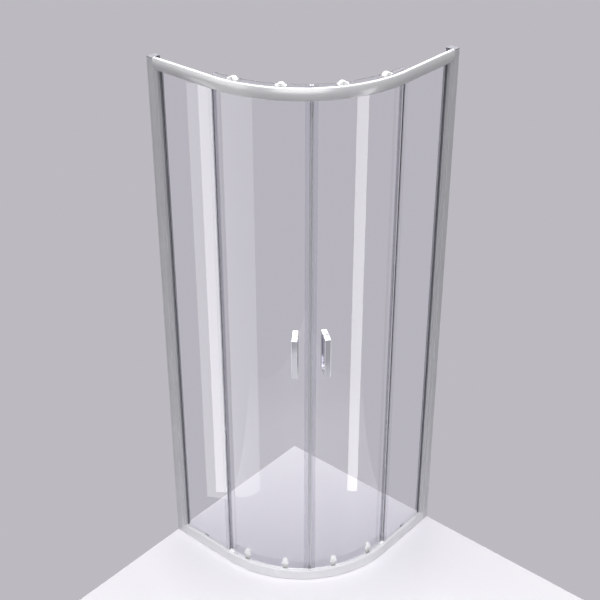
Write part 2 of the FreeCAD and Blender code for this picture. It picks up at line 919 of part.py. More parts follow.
def handle(name, side):
    """A handle on the outer (side 1) or inner (side -1) face of the door."""
    body = new_body(name)
    foot = door_middle + side * (d.door_glass / 2 + d.washer_thickness + d.seat_gap)
    front = door_middle + side * (d.door_glass / 2 + d.handle_reach)
    grip = front - side * d.bar_thickness
    sketch = new_sketch(body, "XZ_Plane")
    draw(sketch, [
        (foot, d.handle_foot),
        (front, d.handle_foot),
        (front, handle_top),
        (foot, handle_top),
        (foot, handle_top - d.arm_height),
        (grip, handle_top - d.arm_height),
        (grip, d.handle_foot + d.arm_height),
        (foot, d.handle_foot + d.arm_height),
    ])
    bar = pad(body, sketch, d.handle_width, both_ways=True)

    def on_front(edge):
        return all(abs(vertex.Point.x - front.number) < 0.01 for vertex in edge.Vertexes)

    round_edges(body, bar, d.handle_rounding, on_front)
    blind = new_sketch(body, "YZ_Plane", foot)
    for height in stud_heights:
        draw_circle(blind, (0, height), d.stud_radius + d.hole_clearance)
    pocket(body, blind, d.stud_grip + d.hole_clearance, backwards=side > 0)
    on_arc(body, handle_angle)
    both_sides(body, name)


handle("handle_outer", 1)
handle("handle_inner", -1)

studs = []
washers = []
stud_start = door_inner - d.seat_gap - d.washer_thickness - d.stud_grip
for number, height in enumerate(stud_heights, start=1):
    stud_length = d.door_glass + 2 * (d.seat_gap + d.washer_thickness + d.stud_grip)
    studs.append(
        radial_pin(f"handle_stud_{number}", d.stud_radius, stud_start, stud_length, handle_angle, height)
    )
    for face, start in (("outer", door_outer + d.seat_gap / 2), ("inner", door_inner - d.seat_gap / 2)):
        first = start if face == "outer" else start - d.washer_thickness
        disc = radial_pin(
            f"{face}_washer_disc_{number}", d.washer_radius, first, d.washer_thickness, handle_angle, height
        )
        bore = radial_pin(
            f"{face}_washer_bore_{number}",
            d.stud_radius + d.hole_clearance,
            first - d.washer_thickness,
            3 * d.washer_thickness,
            handle_angle,
            height,
        )
        washers.append(cut(f"{face}_washer_{number}", disc, [bore]))
both_sides(group("handle_studs", studs), "handle_studs")
both_sides(group("handle_washers", washers), "handle_washers")


# Rollers: two run on the top rail and two on the bottom rail's ledge under each door ----------------------------

plate_back = door_outer + d.seat_gap
plate_front = plate_back + d.plate_thickness
clamp_bore = d.clamp_radius + d.clamp_clearance
track_height = d.frame_height - d.track_drop
top_axle = track_height + d.track_gap + d.top_wheel_radius
hood_front = d.corner_radius - d.track_front - d.hood_clearance
top_wheel_out = hood_front - d.hood_wall - d.hood_side_room
top_wheel_in = top_wheel_out - d.top_wheel_width
hood_low = track_height + d.hood_lift
foot_low = d.frame_height + d.hood_lift
dome_low = foot_low + d.hood_foot_height
arch = d.top_wheel_radius + d.hood_room
hood_half = arch + d.hood_wall
foot_half = hood_half + d.hood_foot
dome_half = hood_half - d.dome_inset
dome_rise = top_axle + arch * 0.95 + d.hood_wall - dome_low
eye = foot_low + d.eye_height
bottom_axle = d.ledge_height + d.track_gap + d.bottom_wheel_radius
bottom_wheel_in = plate_front + d.wheel_spacer
bottom_wheel_out = bottom_wheel_in + d.bottom_wheel_width


def add_clamp_boss(body, height):
    """The boss that fills the glass's hole, with a bore through it and the plate for the clamp bolt."""
    sketch = new_sketch(body, "YZ_Plane", plate_back)
    draw_circle(sketch, (0, height), d.clamp_hole - d.boss_clearance)
    pad(body, sketch, d.door_glass, backwards=True)
    sketch = new_sketch(body, "YZ_Plane", plate_front)
    draw_circle(sketch, (0, height), clamp_bore)
    pocket(body, sketch, d.plate_thickness + d.door_glass)


def top_housing(name):
    """Clamp plate behind the rail with a domed hood over the wheel, open below, and a ringed eye in its face."""
    body = new_body(name)
    plate_low = top_clamp - d.top_plate_foot
    sketch = new_sketch(body, "YZ_Plane", plate_back)
    draw(sketch, [
        (-d.top_plate_half / 2, plate_low),
        (d.top_plate_half / 2, plate_low),
        (d.top_plate_half, plate_low + d.top_plate_half / 2),
        (d.top_plate_half, top_axle, arc_radius(2 * d.top_plate_half, d.top_plate_half * 0.95)),
        (-d.top_plate_half, top_axle),
        (-d.top_plate_half, plate_low + d.top_plate_half / 2),
    ])
    pad(body, sketch, d.plate_thickness)
    sketch = new_sketch(body, "YZ_Plane", plate_front)
    draw(sketch, [
        (-hood_half, hood_low),
        (hood_half, hood_low),
        (hood_half, foot_low),
        (foot_half, foot_low),
        (foot_half, dome_low),
        (dome_half, dome_low, arc_radius(2 * dome_half, dome_rise)),
        (-dome_half, dome_low),
        (-foot_half, dome_low),
        (-foot_half, foot_low),
        (-hood_half, foot_low),
    ])
    pad(body, sketch, hood_front - plate_front)
    sketch = new_sketch(body, "YZ_Plane", hood_front - d.hood_wall)
    draw(sketch, [
        (-arch, hood_low - d.hood_lift),
        (arch, hood_low - d.hood_lift),
        (arch, top_axle, arc_radius(2 * arch, arch * 0.95)),
        (-arch, top_axle),
    ])
    pocket(body, sketch, hood_front - plate_front - 2 * d.hood_wall)
    sketch = new_sketch(body, "YZ_Plane", hood_front)
    draw_circle(sketch, (0, eye), d.eye_radius + d.ring_wall)
    draw_circle(sketch, (0, eye), d.eye_radius)
    pad(body, sketch, d.ring_height)
    sketch = new_sketch(body, "YZ_Plane", hood_front)
    draw_circle(sketch, (0, eye), d.eye_radius)
    pocket(body, sketch, d.eye_depth)
    sketch = new_sketch(body, "YZ_Plane", hood_front)
    draw_circle(sketch, (0, top_axle), d.top_axle_radius + d.hole_clearance)
    pocket(body, sketch, hood_front - plate_back)
    add_clamp_boss(body, top_clamp)
    return body


def bottom_carrier(name):
    """Clamp plate that hangs below its bolt and carries the lower wheel."""
    body = new_body(name)
    shoulder = bottom_axle + d.bottom_wheel_radius
    crown = d.bottom_clamp_height + d.bottom_plate_half / 2
    sketch = new_sketch(body, "YZ_Plane", plate_back)
    draw(sketch, [
        (-d.bottom_plate_foot, bottom_axle, arc_radius(2 * d.bottom_plate_foot, d.bottom_plate_foot * 0.95)),
        (d.bottom_plate_foot, bottom_axle),
        (d.bottom_plate_half, shoulder),
        (d.bottom_plate_half, crown, arc_radius(2 * d.bottom_plate_half, d.bottom_plate_half * 0.95)),
        (-d.bottom_plate_half, crown),
        (-d.bottom_plate_half, shoulder),
    ])
    pad(body, sketch, d.plate_thickness)
    sketch = new_sketch(body, "YZ_Plane", plate_front)
    draw_circle(sketch, (0, bottom_axle), d.bottom_axle_radius + d.rim_width)
    pad(body, sketch, d.wheel_spacer - d.hole_clearance)
    sketch = new_sketch(body, "YZ_Plane", bottom_wheel_in)
    draw_circle(sketch, (0, bottom_axle), d.bottom_axle_radius + d.hole_clearance)
    pocket(body, sketch, bottom_wheel_in - plate_back)
    add_clamp_boss(body, d.bottom_clamp_height)
    return body


def button_outline(margin, low):
    """The release button's outline, a triangle with blunt corners, drawn in by a margin."""
    half_width = d.button_half - margin
    high = low + d.button_height - 2 * margin
    return [
        (-half_width, low),
        (half_width, low),
        (half_width, low + d.button_shoulder),
        (d.button_top_half - margin / 2, high),
        (margin / 2 - d.button_top_half, high),
        (-half_width, low + d.button_shoulder),
    ]


def release_button(name):
    """Hollow cap over the lower clamp, open at the back, with an eye in its middle."""
    body = new_body(name)
    low = d.bottom_clamp_height - d.button_height / 2
    back = plate_front + d.hole_clearance
    sketch = new_sketch(body, "YZ_Plane", back)
    draw(sketch, button_outline(0, low))
    block = pad(body, sketch, d.button_depth)

    def across_plate(edge):
        return abs(edge.Vertexes[0].Point.x - edge.Vertexes[-1].Point.x) > d.button_depth.number / 2

    round_edges(body, block, d.button_rounding, across_plate)
    sketch = new_sketch(body, "YZ_Plane", back)
    draw(sketch, button_outline(d.button_wall, low + d.button_wall))
    pocket(body, sketch, d.button_depth - d.button_wall, backwards=True)
    sketch = new_sketch(body, "YZ_Plane", back + d.button_depth)
    draw_circle(sketch, (0, d.bottom_clamp_height), d.button_eye)
    pocket(body, sketch, d.button_depth)
    return body


def wheel(name, inner, outer, radius, bore):
    """A moulded wheel with a hub, a thinner web and a rim with broken edges."""
    body = new_body(name)
    hub = bore + d.rim_width
    rim = radius - d.rim_width
    revolve(body, [
        (inner, bore),
        (inner, hub),
        (inner + d.web_recess, hub),
        (inner + d.web_recess, rim),
        (inner, rim),
        (inner, radius - d.tread_chamfer),
        (inner + d.tread_chamfer, radius),
        (outer - d.tread_chamfer, radius),
        (outer, radius - d.tread_chamfer),
        (outer, rim),
        (outer - d.web_recess, rim),
        (outer - d.web_recess, hub),
        (outer, hub),
        (outer, bore),
    ])
    return body


def axle(name, start, shoulder, radius, head_radius, head_height):
    """A pin whose flat head stands against the shoulder."""
    body = new_body(name)
    revolve(body, [
        (start, 0),
        (start, radius),
        (shoulder, radius),
        (shoulder, head_radius),
        (shoulder + head_height, head_radius),
        (shoulder + head_height, 0),
    ])
    return body


def clamp_bolt(name):
    """A bolt through the glass with a flat head on the inner face."""
    body = new_body(name)
    head_out = door_inner - d.seat_gap
    revolve(body, [
        (head_out - d.clamp_head_height, 0),
        (head_out - d.clamp_head_height, d.clamp_head),
        (head_out, d.clamp_head),
        (head_out, d.clamp_radius),
        (plate_front - d.hole_clearance, d.clamp_radius),
        (plate_front - d.hole_clearance, 0),
    ])
    return body


def clamp_cap(name):
    """A domed cover over the clamp bolt's head, inside the shower."""
    body = new_body(name)
    rim = door_inner - d.seat_gap
    crown = rim - d.clamp_cap_height
    bore = d.clamp_cap_radius - d.clamp_cap_wall
    revolve(body, [
        (rim, bore),
        (rim, d.clamp_cap_radius),
        (rim - d.clamp_cap_height / 2, d.clamp_cap_radius, d.clamp_cap_radius),
        (crown, d.clamp_cap_radius / 2),
        (crown, 0),
        (crown + d.clamp_cap_wall, 0),
        (crown + d.clamp_cap_wall, bore / 2),
        (rim - d.clamp_head_height - d.seat_gap, bore),
    ])
    return body


housings, top_bolts, top_covers, carriers, buttons, bottom_bolts, axles = [], [], [], [], [], [], []
wheels = []
for number, angle in enumerate(roller_angles, start=1):
    placed = [
        (housings, top_housing(f"top_housing_{number}"), 0),
        (top_bolts, clamp_bolt(f"top_clamp_bolt_{number}"), top_clamp),
        (top_covers, clamp_cap(f"top_clamp_cap_{number}"), top_clamp),
        (carriers, bottom_carrier(f"bottom_carrier_{number}"), 0),
        (buttons, release_button(f"release_button_{number}"), 0),
        (bottom_bolts, clamp_bolt(f"bottom_clamp_bolt_{number}"), d.bottom_clamp_height),
        (axles, axle(
            f"top_axle_{number}",
            plate_back + d.hole_clearance,
            hood_front,
            d.top_axle_radius,
            d.top_axle_radius + d.axle_head,
            d.axle_head_height,
        ), top_axle),
        (axles, axle(
            f"bottom_axle_{number}",
            plate_back + d.hole_clearance,
            bottom_wheel_out + d.hole_clearance,
            d.bottom_axle_radius,
            d.bottom_axle_radius + d.web_recess,
            d.axle_head_height,
        ), bottom_axle),
    ]
    for pieces, piece, height in placed:
        on_arc(piece, angle, height)
        pieces.append(piece)
    top_bore = d.top_axle_radius + d.wheel_bore_play
    top_wheel = wheel(f"top_wheel_{number}", top_wheel_in, top_wheel_out, d.top_wheel_radius, top_bore)
    on_arc(top_wheel, angle, top_axle)
    wheels.append(("top_wheel", number, top_wheel))
    bottom_bore = d.bottom_axle_radius + d.wheel_bore_play
    bottom_wheel = wheel(
        f"bottom_wheel_{number}", bottom_wheel_in, bottom_wheel_out, d.bottom_wheel_radius, bottom_bore
    )
    on_arc(bottom_wheel, angle, bottom_axle)
    wheels.append(("bottom_wheel", number, bottom_wheel))

both_sides(group("top_roller_housings", housings), "top_roller_housings")
both_sides(group("top_clamp_bolts", top_bolts), "top_clamp_bolts")
both_sides(group("top_clamp_caps", top_covers), "top_clamp_caps")
both_sides(group("bottom_roller_carriers", carriers), "bottom_roller_carriers")
both_sides(group("release_buttons", buttons), "release_buttons")
both_sides(group("bottom_clamp_bolts", bottom_bolts), "bottom_clamp_bolts")
both_sides(group("roller_axles", axles), "roller_axles")
for kind, number, piece in wheels:
    piece.Label = f"{kind}_right_{number}"
    nodes.extend([piece, mirrored(f"{kind}_left_{number}", piece)])


# Tests and files -----------------------------------------------------------------------------------------------

doc.recompute()
for thing in doc.Objects:
    if {"Invalid", "Error"} & set(thing.State):
        raise RuntimeError(f"{thing.Label} failed: {thing.State}")
os.makedirs("parts", exist_ok=True)
for piece in nodes:
    if piece.Shape.isNull() or not piece.Shape.isValid() or piece.Shape.Volume <= 0:
        raise RuntimeError(f"{piece.Label} has no valid shape")
for piece in nodes:
    piece.Shape.exportStep(f"parts/{piece.Label}.step")
print(f"{len(nodes)} nodes, {sum(len(piece.Shape.Solids) for piece in nodes)} solids")
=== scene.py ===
"""Looks of the quadrant shower enclosure: white frame, clear glass, rollers and chrome handles.

Pieces are drawn in millimetres in the part's own frame and set down in metres.
"""
import math

import bmesh
import bpy
from mathutils import Matrix, Vector


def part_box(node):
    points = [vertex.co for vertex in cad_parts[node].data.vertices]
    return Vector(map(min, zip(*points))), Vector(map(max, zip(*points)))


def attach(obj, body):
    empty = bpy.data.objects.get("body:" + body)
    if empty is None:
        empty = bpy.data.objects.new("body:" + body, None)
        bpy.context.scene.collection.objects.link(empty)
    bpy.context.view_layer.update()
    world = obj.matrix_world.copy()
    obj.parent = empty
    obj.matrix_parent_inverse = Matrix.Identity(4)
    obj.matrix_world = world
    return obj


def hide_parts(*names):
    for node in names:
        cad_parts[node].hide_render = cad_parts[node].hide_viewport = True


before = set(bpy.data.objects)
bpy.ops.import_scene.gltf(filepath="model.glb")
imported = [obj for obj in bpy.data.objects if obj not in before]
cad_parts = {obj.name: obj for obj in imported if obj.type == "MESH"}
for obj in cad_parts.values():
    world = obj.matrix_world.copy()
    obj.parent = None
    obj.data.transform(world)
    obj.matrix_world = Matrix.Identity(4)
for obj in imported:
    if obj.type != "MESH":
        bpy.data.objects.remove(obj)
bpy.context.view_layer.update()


# Rails ------------------------------------------------------------------------------------------
# Extruded aluminium, bent to a quarter circle with two straight ends and powder coated in gloss white.
# The top rail's front bulges a little and the bottom rail's leans back. Both have a slot for the fixed
# glass behind.

METRES = 0.001
HALF_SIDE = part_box("bottom_rail")[1].x / METRES
CORNER_RADIUS = 425
FRAME_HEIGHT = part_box("top_rail")[1].z / METRES
RAIL_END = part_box("bottom_rail")[1].y / METRES
BEND_CENTRE = Vector((HALF_SIDE - CORNER_RADIUS, CORNER_RADIUS - HALF_SIDE, 0))
BEND_STEPS = 72
BOX_DEPTH = 14.6
SLOT_BACK = 21
TOP_RAIL_HEIGHT = 39
TOP_RAIL_DEPTH = 25
TOP_RAIL_BULGE = 2.4
TOP_SLOT_DEPTH = 12
TRACK_FRONT = 12
TRACK_DROP = 14.5
BOTTOM_RAIL_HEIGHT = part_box("bottom_rail")[1].z / METRES
BOTTOM_RAIL_DEPTH = 34
BOTTOM_RAIL_LEAN = 2.3
LEDGE_HEIGHT = 18
SLOT_FLOOR = 3
FOOT_REBATE = 2.5
RAIL_EDGE = 0.7
RAIL_WALL = 1.6
BULGE_CUTS = 11
CORNER_STEPS = 3
CREASE = 32
SHEER = 2
BROAD = 12
NEAR = 0.01
MERGE = 0.001
HOLE_STEPS = 40
CUT_MARGIN = 5
SCREW_INSET = Vector((7.6, HALF_SIDE - RAIL_END + 7.5))
SCREW_ACCESS = 3.3


def colour(code):
    """A #RRGGBB colour as the linear values that shaders take."""
    parts = [int(code[i:i + 2], 16) / 255 for i in (1, 3, 5)]
    return [*(c / 12.92 if c <= 0.04045 else ((c + 0.055) / 1.055) ** 2.4 for c in parts), 1]


def add(tree, kind, settings, inputs):
    """A node with its settings; an input is a value, or the socket that feeds it."""
    node = tree.nodes.new(kind)
    for name, value in settings.items():
        setattr(node, name, value)
    for name, value in inputs.items():
        if isinstance(value, bpy.types.NodeSocket):
            tree.links.new(value, node.inputs[name])
        else:
            node.inputs[name].default_value = value
    return node


def new_material(name):
    """An empty material, and its place coordinates in metres."""
    material = bpy.data.materials.new(name)
    material.use_nodes = True
    tree = material.node_tree
    tree.nodes.clear()
    place = add(tree, "ShaderNodeTexCoord", {}, {}).outputs["Object"]
    return material, tree, place


def powder_coat(name, dark, light):
    """Polyester powder coat, sprayed and baked: glossy, with the faint orange peel of about 2 mm that the
    powder's flow leaves, drawn at 4 mm so that it shows, and a trace of unevenness in its shine."""
    material, tree, place = new_material(name)
    clouds = add(tree, "ShaderNodeTexNoise", {}, {"Vector": place, "Scale": 9, "Detail": 2})
    peel = add(tree, "ShaderNodeTexNoise", {}, {"Vector": place, "Scale": 250, "Detail": 1})
    tint = add(tree, "ShaderNodeMix", {"data_type": "RGBA"}, {
        "Factor": clouds.outputs["Fac"], "A": colour(dark), "B": colour(light),
    })
    shine = add(tree, "ShaderNodeMapRange", {}, {
        "Value": clouds.outputs["Fac"], "To Min": 0.2, "To Max": 0.3,
    })
    relief = add(tree, "ShaderNodeBump", {}, {
        "Height": peel.outputs["Fac"], "Strength": 0.12, "Distance": 0.0004,
    })
    coat = add(tree, "ShaderNodeBsdfPrincipled", {}, {
        "Base Color": tint.outputs["Result"], "Roughness": shine.outputs["Result"], "IOR": 1.5,
        "Coat Weight": 0.25, "Coat Roughness": 0.12, "Normal": relief.outputs["Normal"],
    })
    add(tree, "ShaderNodeOutputMaterial", {}, {"Surface": coat.outputs["BSDF"]})
    return material


def shade(bm, crease):
    """Smooth shading that stops at creases and where a broad face meets its narrow rounded edge."""
    for face in bm.faces:
        face.smooth = True
    for edge in bm.edges:
        if len(edge.link_faces) == 2 and edge.calc_face_angle() > math.radians(SHEER):
            narrow, broad = sorted(face.calc_area() for face in edge.link_faces)
            edge.smooth = edge.calc_face_angle() < math.radians(crease) and narrow * BROAD > broad


def as_object(bm, name):
    """Puts a drawn mesh in the scene as an object."""
    mesh = bpy.data.meshes.new(name)
    bm.to_mesh(mesh)
    bm.free()
    item = bpy.data.objects.new(name, mesh)
    bpy.context.scene.collection.objects.link(item)
    return item


def set_down(bm, name, body, nodes, materials, crease=CREASE):
    """Makes a finished piece of a mesh drawn in millimetres, in place of some CAD nodes."""
    shade(bm, crease)
    bmesh.ops.scale(bm, vec=(METRES, METRES, METRES), verts=bm.verts)
    piece = as_object(bm, name)
    for material in materials:
        piece.data.materials.append(material)
    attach(piece, body)
    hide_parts(*nodes)
    return piece


def outline(bm, corners, rounding):
    """A flat face in the XY plane with its corners rounded."""
    face = bm.faces.new([bm.verts.new((x, y, 0)) for x, y in corners])
    if rounding:
        bmesh.ops.bevel(
            bm, geom=face.verts[:], offset=rounding, offset_type="OFFSET", segments=CORNER_STEPS,
            profile=0.5, affect="VERTICES", material=-1, clamp_overlap=True,
        )
    return bm.faces[:][-1]


def cut_away(piece, cutters):
    """Takes the cutters' shapes out of a piece and throws the cutters away."""
    for cutter in cutters:
        cut = piece.modifiers.new("cut", "BOOLEAN")
        cut.object = cutter
        cut.solver = "EXACT"
    whole = piece.evaluated_get(bpy.context.evaluated_depsgraph_get())
    mesh = bpy.data.meshes.new_from_object(whole)
    piece.modifiers.clear()
    old, piece.data = piece.data, mesh
    bpy.data.meshes.remove(old)
    for cutter in cutters:
        bpy.data.meshes.remove(cutter.data)


def rod(low, high, radius, turn):
    """A round bar along Z from low to high, turned into place."""
    bm = bmesh.new()
    bmesh.ops.create_cone(
        bm, cap_ends=True, segments=HOLE_STEPS, radius1=radius, radius2=radius, depth=high - low,
        matrix=Matrix.Translation((0, 0, (low + high) / 2)),
    )
    bmesh.ops.transform(bm, matrix=turn, verts=bm.verts)
    bmesh.ops.recalc_face_normals(bm, faces=bm.faces)
    return bm


def drill(low, high, radius, turn):
    """A cutter, given in millimetres, for a piece that is already set down."""
    return as_object(rod(low, high, radius, Matrix.Scale(METRES, 4) @ turn), "drill")


def verts_of(grown):
    """The points among what an operation made."""
    return [part for part in grown if isinstance(part, bmesh.types.BMVert)]


def edges_of(grown):
    """The edges among what an operation made."""
    return [part for part in grown if isinstance(part, bmesh.types.BMEdge)]


def bulge_front(bm, bulge):
    """Arches the front of the top rail's section forward in the middle."""
    front = [e for e in bm.edges if min(v.co.x for v in e.verts) > -bulge - NEAR]
    tall = max(front, key=lambda e: e.calc_length())
    bmesh.ops.subdivide_edges(bm, edges=[tall], cuts=BULGE_CUTS, use_grid_fill=False)
    middle = TOP_RAIL_HEIGHT / 2
    for vert in bm.verts:
        if vert.co.x > -bulge - NEAR:
            vert.co.x -= bulge * ((vert.co.y - middle) / middle) ** 2 - bulge


def rail(name, node, section, low, bulge, screws):
    """Sweeps a section, given as depth and height, from one wall profile to the other."""
    bm = bmesh.new()
    outline(bm, section, RAIL_EDGE)
    bmesh.ops.delete(bm, geom=bm.faces[:], context="FACES_ONLY")
    if bulge:
        bulge_front(bm, bulge)
    upright = Matrix(((1, 0, 0, HALF_SIDE), (0, 0, 0, RAIL_END), (0, 1, 0, low), (0, 0, 0, 1)))
    bmesh.ops.transform(bm, matrix=upright, verts=bm.verts)
    straight = RAIL_END - BEND_CENTRE.y
    grown = bmesh.ops.extrude_edge_only(bm, edges=bm.edges[:])["geom"]
    bmesh.ops.translate(bm, vec=(0, -straight, 0), verts=verts_of(grown))
    grown = bmesh.ops.spin(
        bm, geom=edges_of(grown), cent=BEND_CENTRE, axis=(0, 0, 1), angle=math.radians(-90),
        steps=BEND_STEPS, use_merge=False, use_duplicate=False,
    )["geom_last"]
    grown = bmesh.ops.extrude_edge_only(bm, edges=edges_of(grown))["geom"]
    bmesh.ops.translate(bm, vec=(-straight, 0, 0), verts=verts_of(grown))
    bmesh.ops.remove_doubles(bm, verts=bm.verts, dist=MERGE)
    bmesh.ops.holes_fill(bm, edges=[e for e in bm.edges if e.is_boundary], sides=0)
    bmesh.ops.recalc_face_normals(bm, faces=bm.faces)
    piece = set_down(bm, name, "frame", [node], [white])
    x, y = HALF_SIDE - SCREW_INSET.x, HALF_SIDE - SCREW_INSET.y
    cut_away(piece, [
        drill(*screws, SCREW_ACCESS, Matrix.Translation(spot)) for spot in ((x, y, 0), (-y, -x, 0))
    ])


white = powder_coat("white_powder_coat", "#EFEFF2", "#F4F4F6")
top_section = [
    (-TOP_RAIL_BULGE, 0),
    (-TOP_RAIL_BULGE, TOP_RAIL_HEIGHT),
    (-TRACK_FRONT, TOP_RAIL_HEIGHT),
    (-TRACK_FRONT, TOP_RAIL_HEIGHT - TRACK_DROP),
    (-TOP_RAIL_DEPTH, TOP_RAIL_HEIGHT - TRACK_DROP),
    (-TOP_RAIL_DEPTH, 0),
    (-SLOT_BACK, 0),
    (-SLOT_BACK, TOP_SLOT_DEPTH),
    (-BOX_DEPTH, TOP_SLOT_DEPTH),
    (-BOX_DEPTH, 0),
]
bottom_section = [
    (-FOOT_REBATE, 0),
    (-FOOT_REBATE, FOOT_REBATE),
    (0, FOOT_REBATE),
    (-BOTTOM_RAIL_LEAN, BOTTOM_RAIL_HEIGHT),
    (-BOX_DEPTH, BOTTOM_RAIL_HEIGHT),
    (-BOX_DEPTH, SLOT_FLOOR),
    (-SLOT_BACK, SLOT_FLOOR),
    (-SLOT_BACK, LEDGE_HEIGHT),
    (-BOTTOM_RAIL_DEPTH, LEDGE_HEIGHT),
    (-BOTTOM_RAIL_DEPTH, 0),
]
top_rail_low = FRAME_HEIGHT - TOP_RAIL_HEIGHT
rail("white_top_rail", "top_rail", top_section, top_rail_low, TOP_RAIL_BULGE,
     (top_rail_low + RAIL_WALL, FRAME_HEIGHT + CUT_MARGIN))
rail("white_bottom_rail", "bottom_rail", bottom_section, 0, 0,
     (-CUT_MARGIN, BOTTOM_RAIL_HEIGHT - RAIL_WALL))


# Wall profiles, end caps and posts --------------------------------------------------------------
# Straight extrusions in the same white coat, drawn a shade greyer than the rails: painted shade for
# uprights that stand in less light. The wall profile is a channel with two fine grooves in its face, its top
# closed by a grey moulded cap. The post slides in it and holds the glass in a groove.

PROFILE_DEPTH = 35
PROFILE_WALL = 1.8
PROFILE_EDGE = 0.6
FLUTES = (7, 13)
FLUTE_DEPTH = 0.6
FLUTE_EDGE = 0.15
WALL_HOLE = 2.75
WALL_HOLE_HEIGHTS = (150, 700, 1250, 1800)
ADJUST_HOLE = 2.2
ADJUST_FROM_WALL = 14
ADJUST_HEIGHTS = (250, 975, 1700)
CAP_THICKNESS = 2
CAP_PLUG = 8
POST_REVEAL = 15
POST_LENGTH = 34
POST_GROOVE = 12
SLIDE_GAP = 0.4
TO_LEFT_SIDE = Matrix(((0, -1, 0, 0), (-1, 0, 0, 0), (0, 0, 1, 0), (0, 0, 0, 1)))
SIDES = (Matrix.Identity(4), TO_LEFT_SIDE)


def grow(bm, face, height):
    """Gives an outline its thickness along Z."""
    grown = bmesh.ops.extrude_face_region(bm, geom=[face])["geom"]
    bmesh.ops.translate(bm, vec=(0, 0, height), verts=verts_of(grown))
    bmesh.ops.recalc_face_normals(bm, faces=bm.faces)


def extrusion(corners, rounding, low, high):
    """An upright length of profile."""
    bm = bmesh.new()
    grow(bm, outline(bm, corners, rounding), high - low)
    bmesh.ops.translate(bm, vec=(0, 0, low), verts=bm.verts)
    return bm


def both_sides(bm, name, bodies, node, materials, crease=CREASE):
    """Sets down the right-hand piece and its mirrored twin; a star in node stands for the side."""
    twin = bm.copy()
    bmesh.ops.transform(twin, matrix=TO_LEFT_SIDE, verts=twin.verts)
    bmesh.ops.reverse_faces(twin, faces=twin.faces)
    pieces = []
    for mesh, side in ((bm, "right"), (twin, "left")):
        body = bodies.replace("*", side)
        pieces.append(set_down(
            mesh, f"{name}_{side}", body, [node.replace("*", side)], materials, crease,
        ))
    return pieces


def cap_plastic():
    """Moulded ABS end cap in light grey, with the soft sheen and fine grain that a mould gives."""
    material, tree, place = new_material("grey_moulded_abs")
    grain = add(tree, "ShaderNodeTexNoise", {}, {"Vector": place, "Scale": 600, "Detail": 2})
    tint = add(tree, "ShaderNodeMix", {"data_type": "RGBA"}, {
        "Factor": grain.outputs["Fac"], "A": colour("#85868D"), "B": colour("#91929A"),
    })
    relief = add(tree, "ShaderNodeBump", {}, {
        "Height": grain.outputs["Fac"], "Strength": 0.15, "Distance": 0.0002,
    })
    plastic = add(tree, "ShaderNodeBsdfPrincipled", {}, {
        "Base Color": tint.outputs["Result"], "Roughness": 0.45, "Normal": relief.outputs["Normal"],
    })
    add(tree, "ShaderNodeOutputMaterial", {}, {"Surface": plastic.outputs["BSDF"]})
    return material


profile_back = HALF_SIDE - PROFILE_DEPTH
channel = [
    (HALF_SIDE, HALF_SIDE),
    (profile_back, HALF_SIDE),
    (profile_back, RAIL_END),
    (profile_back + PROFILE_WALL, RAIL_END),
    (profile_back + PROFILE_WALL, HALF_SIDE - PROFILE_WALL),
    (HALF_SIDE - PROFILE_WALL, HALF_SIDE - PROFILE_WALL),
    (HALF_SIDE - PROFILE_WALL, RAIL_END),
    (HALF_SIDE, RAIL_END),
]
for flute in FLUTES:
    channel += [
        (HALF_SIDE, RAIL_END + flute - FLUTE_DEPTH),
        (HALF_SIDE - FLUTE_DEPTH, RAIL_END + flute),
        (HALF_SIDE, RAIL_END + flute + FLUTE_DEPTH),
    ]
# A greyer copy of the white coat: painted shade on the wall profiles and posts, which have the same real
# finish as the rails.
shaded_white = powder_coat("shaded_white_powder_coat", "#E0E0E4", "#E6E6EA")
profiles = both_sides(extrusion(channel, FLUTE_EDGE, 0, FRAME_HEIGHT - CAP_THICKNESS),
                      "white_wall_profile", "frame", "wall_profile_*", [shaded_white])
lay_down = Matrix.Rotation(math.radians(90), 4, "Y")
lay_back = Matrix.Rotation(math.radians(-90), 4, "X")
for profile, side in zip(profiles, SIDES):
    low, high = -CUT_MARGIN, PROFILE_WALL + CUT_MARGIN
    across, behind = HALF_SIDE - PROFILE_DEPTH / 2, HALF_SIDE - PROFILE_WALL
    spots = [Vector((across, behind, height)) for height in WALL_HOLE_HEIGHTS]
    holes = [drill(low, high, WALL_HOLE, side @ Matrix.Translation(spot) @ lay_back) for spot in spots]
    behind = HALF_SIDE - ADJUST_FROM_WALL
    spots = [Vector((profile_back, behind, height)) for height in ADJUST_HEIGHTS]
    holes += [drill(low, high, ADJUST_HOLE, side @ Matrix.Translation(spot) @ lay_down) for spot in spots]
    cut_away(profile, holes)

cap = [
    (profile_back, RAIL_END),
    (HALF_SIDE, RAIL_END),
    (HALF_SIDE, HALF_SIDE),
    (profile_back, HALF_SIDE),
]
bm = extrusion(cap, PROFILE_EDGE, FRAME_HEIGHT - CAP_THICKNESS, FRAME_HEIGHT)
lid = max(bm.faces, key=lambda face: face.calc_center_median().z)
plug_face = min(bm.faces, key=lambda face: face.calc_center_median().z)
bmesh.ops.inset_region(bm, faces=[lid], thickness=PROFILE_EDGE / 2, depth=0, use_even_offset=True)
bmesh.ops.translate(bm, vec=(0, 0, -PROFILE_EDGE / 2), verts=[
    v for v in bm.verts if v.co.z > FRAME_HEIGHT - NEAR and v not in lid.verts
])
bmesh.ops.inset_region(
    bm, faces=[plug_face], thickness=PROFILE_WALL + SLIDE_GAP, depth=0, use_even_offset=True,
)
grown = bmesh.ops.extrude_face_region(bm, geom=[plug_face])["geom"]
bmesh.ops.translate(bm, vec=(0, 0, -CAP_PLUG), verts=verts_of(grown))
bmesh.ops.delete(bm, geom=[plug_face], context="FACES_ONLY")
bmesh.ops.recalc_face_normals(bm, faces=bm.faces)
both_sides(bm, "grey_end_cap", "frame", "top_cap_*", [cap_plastic()])

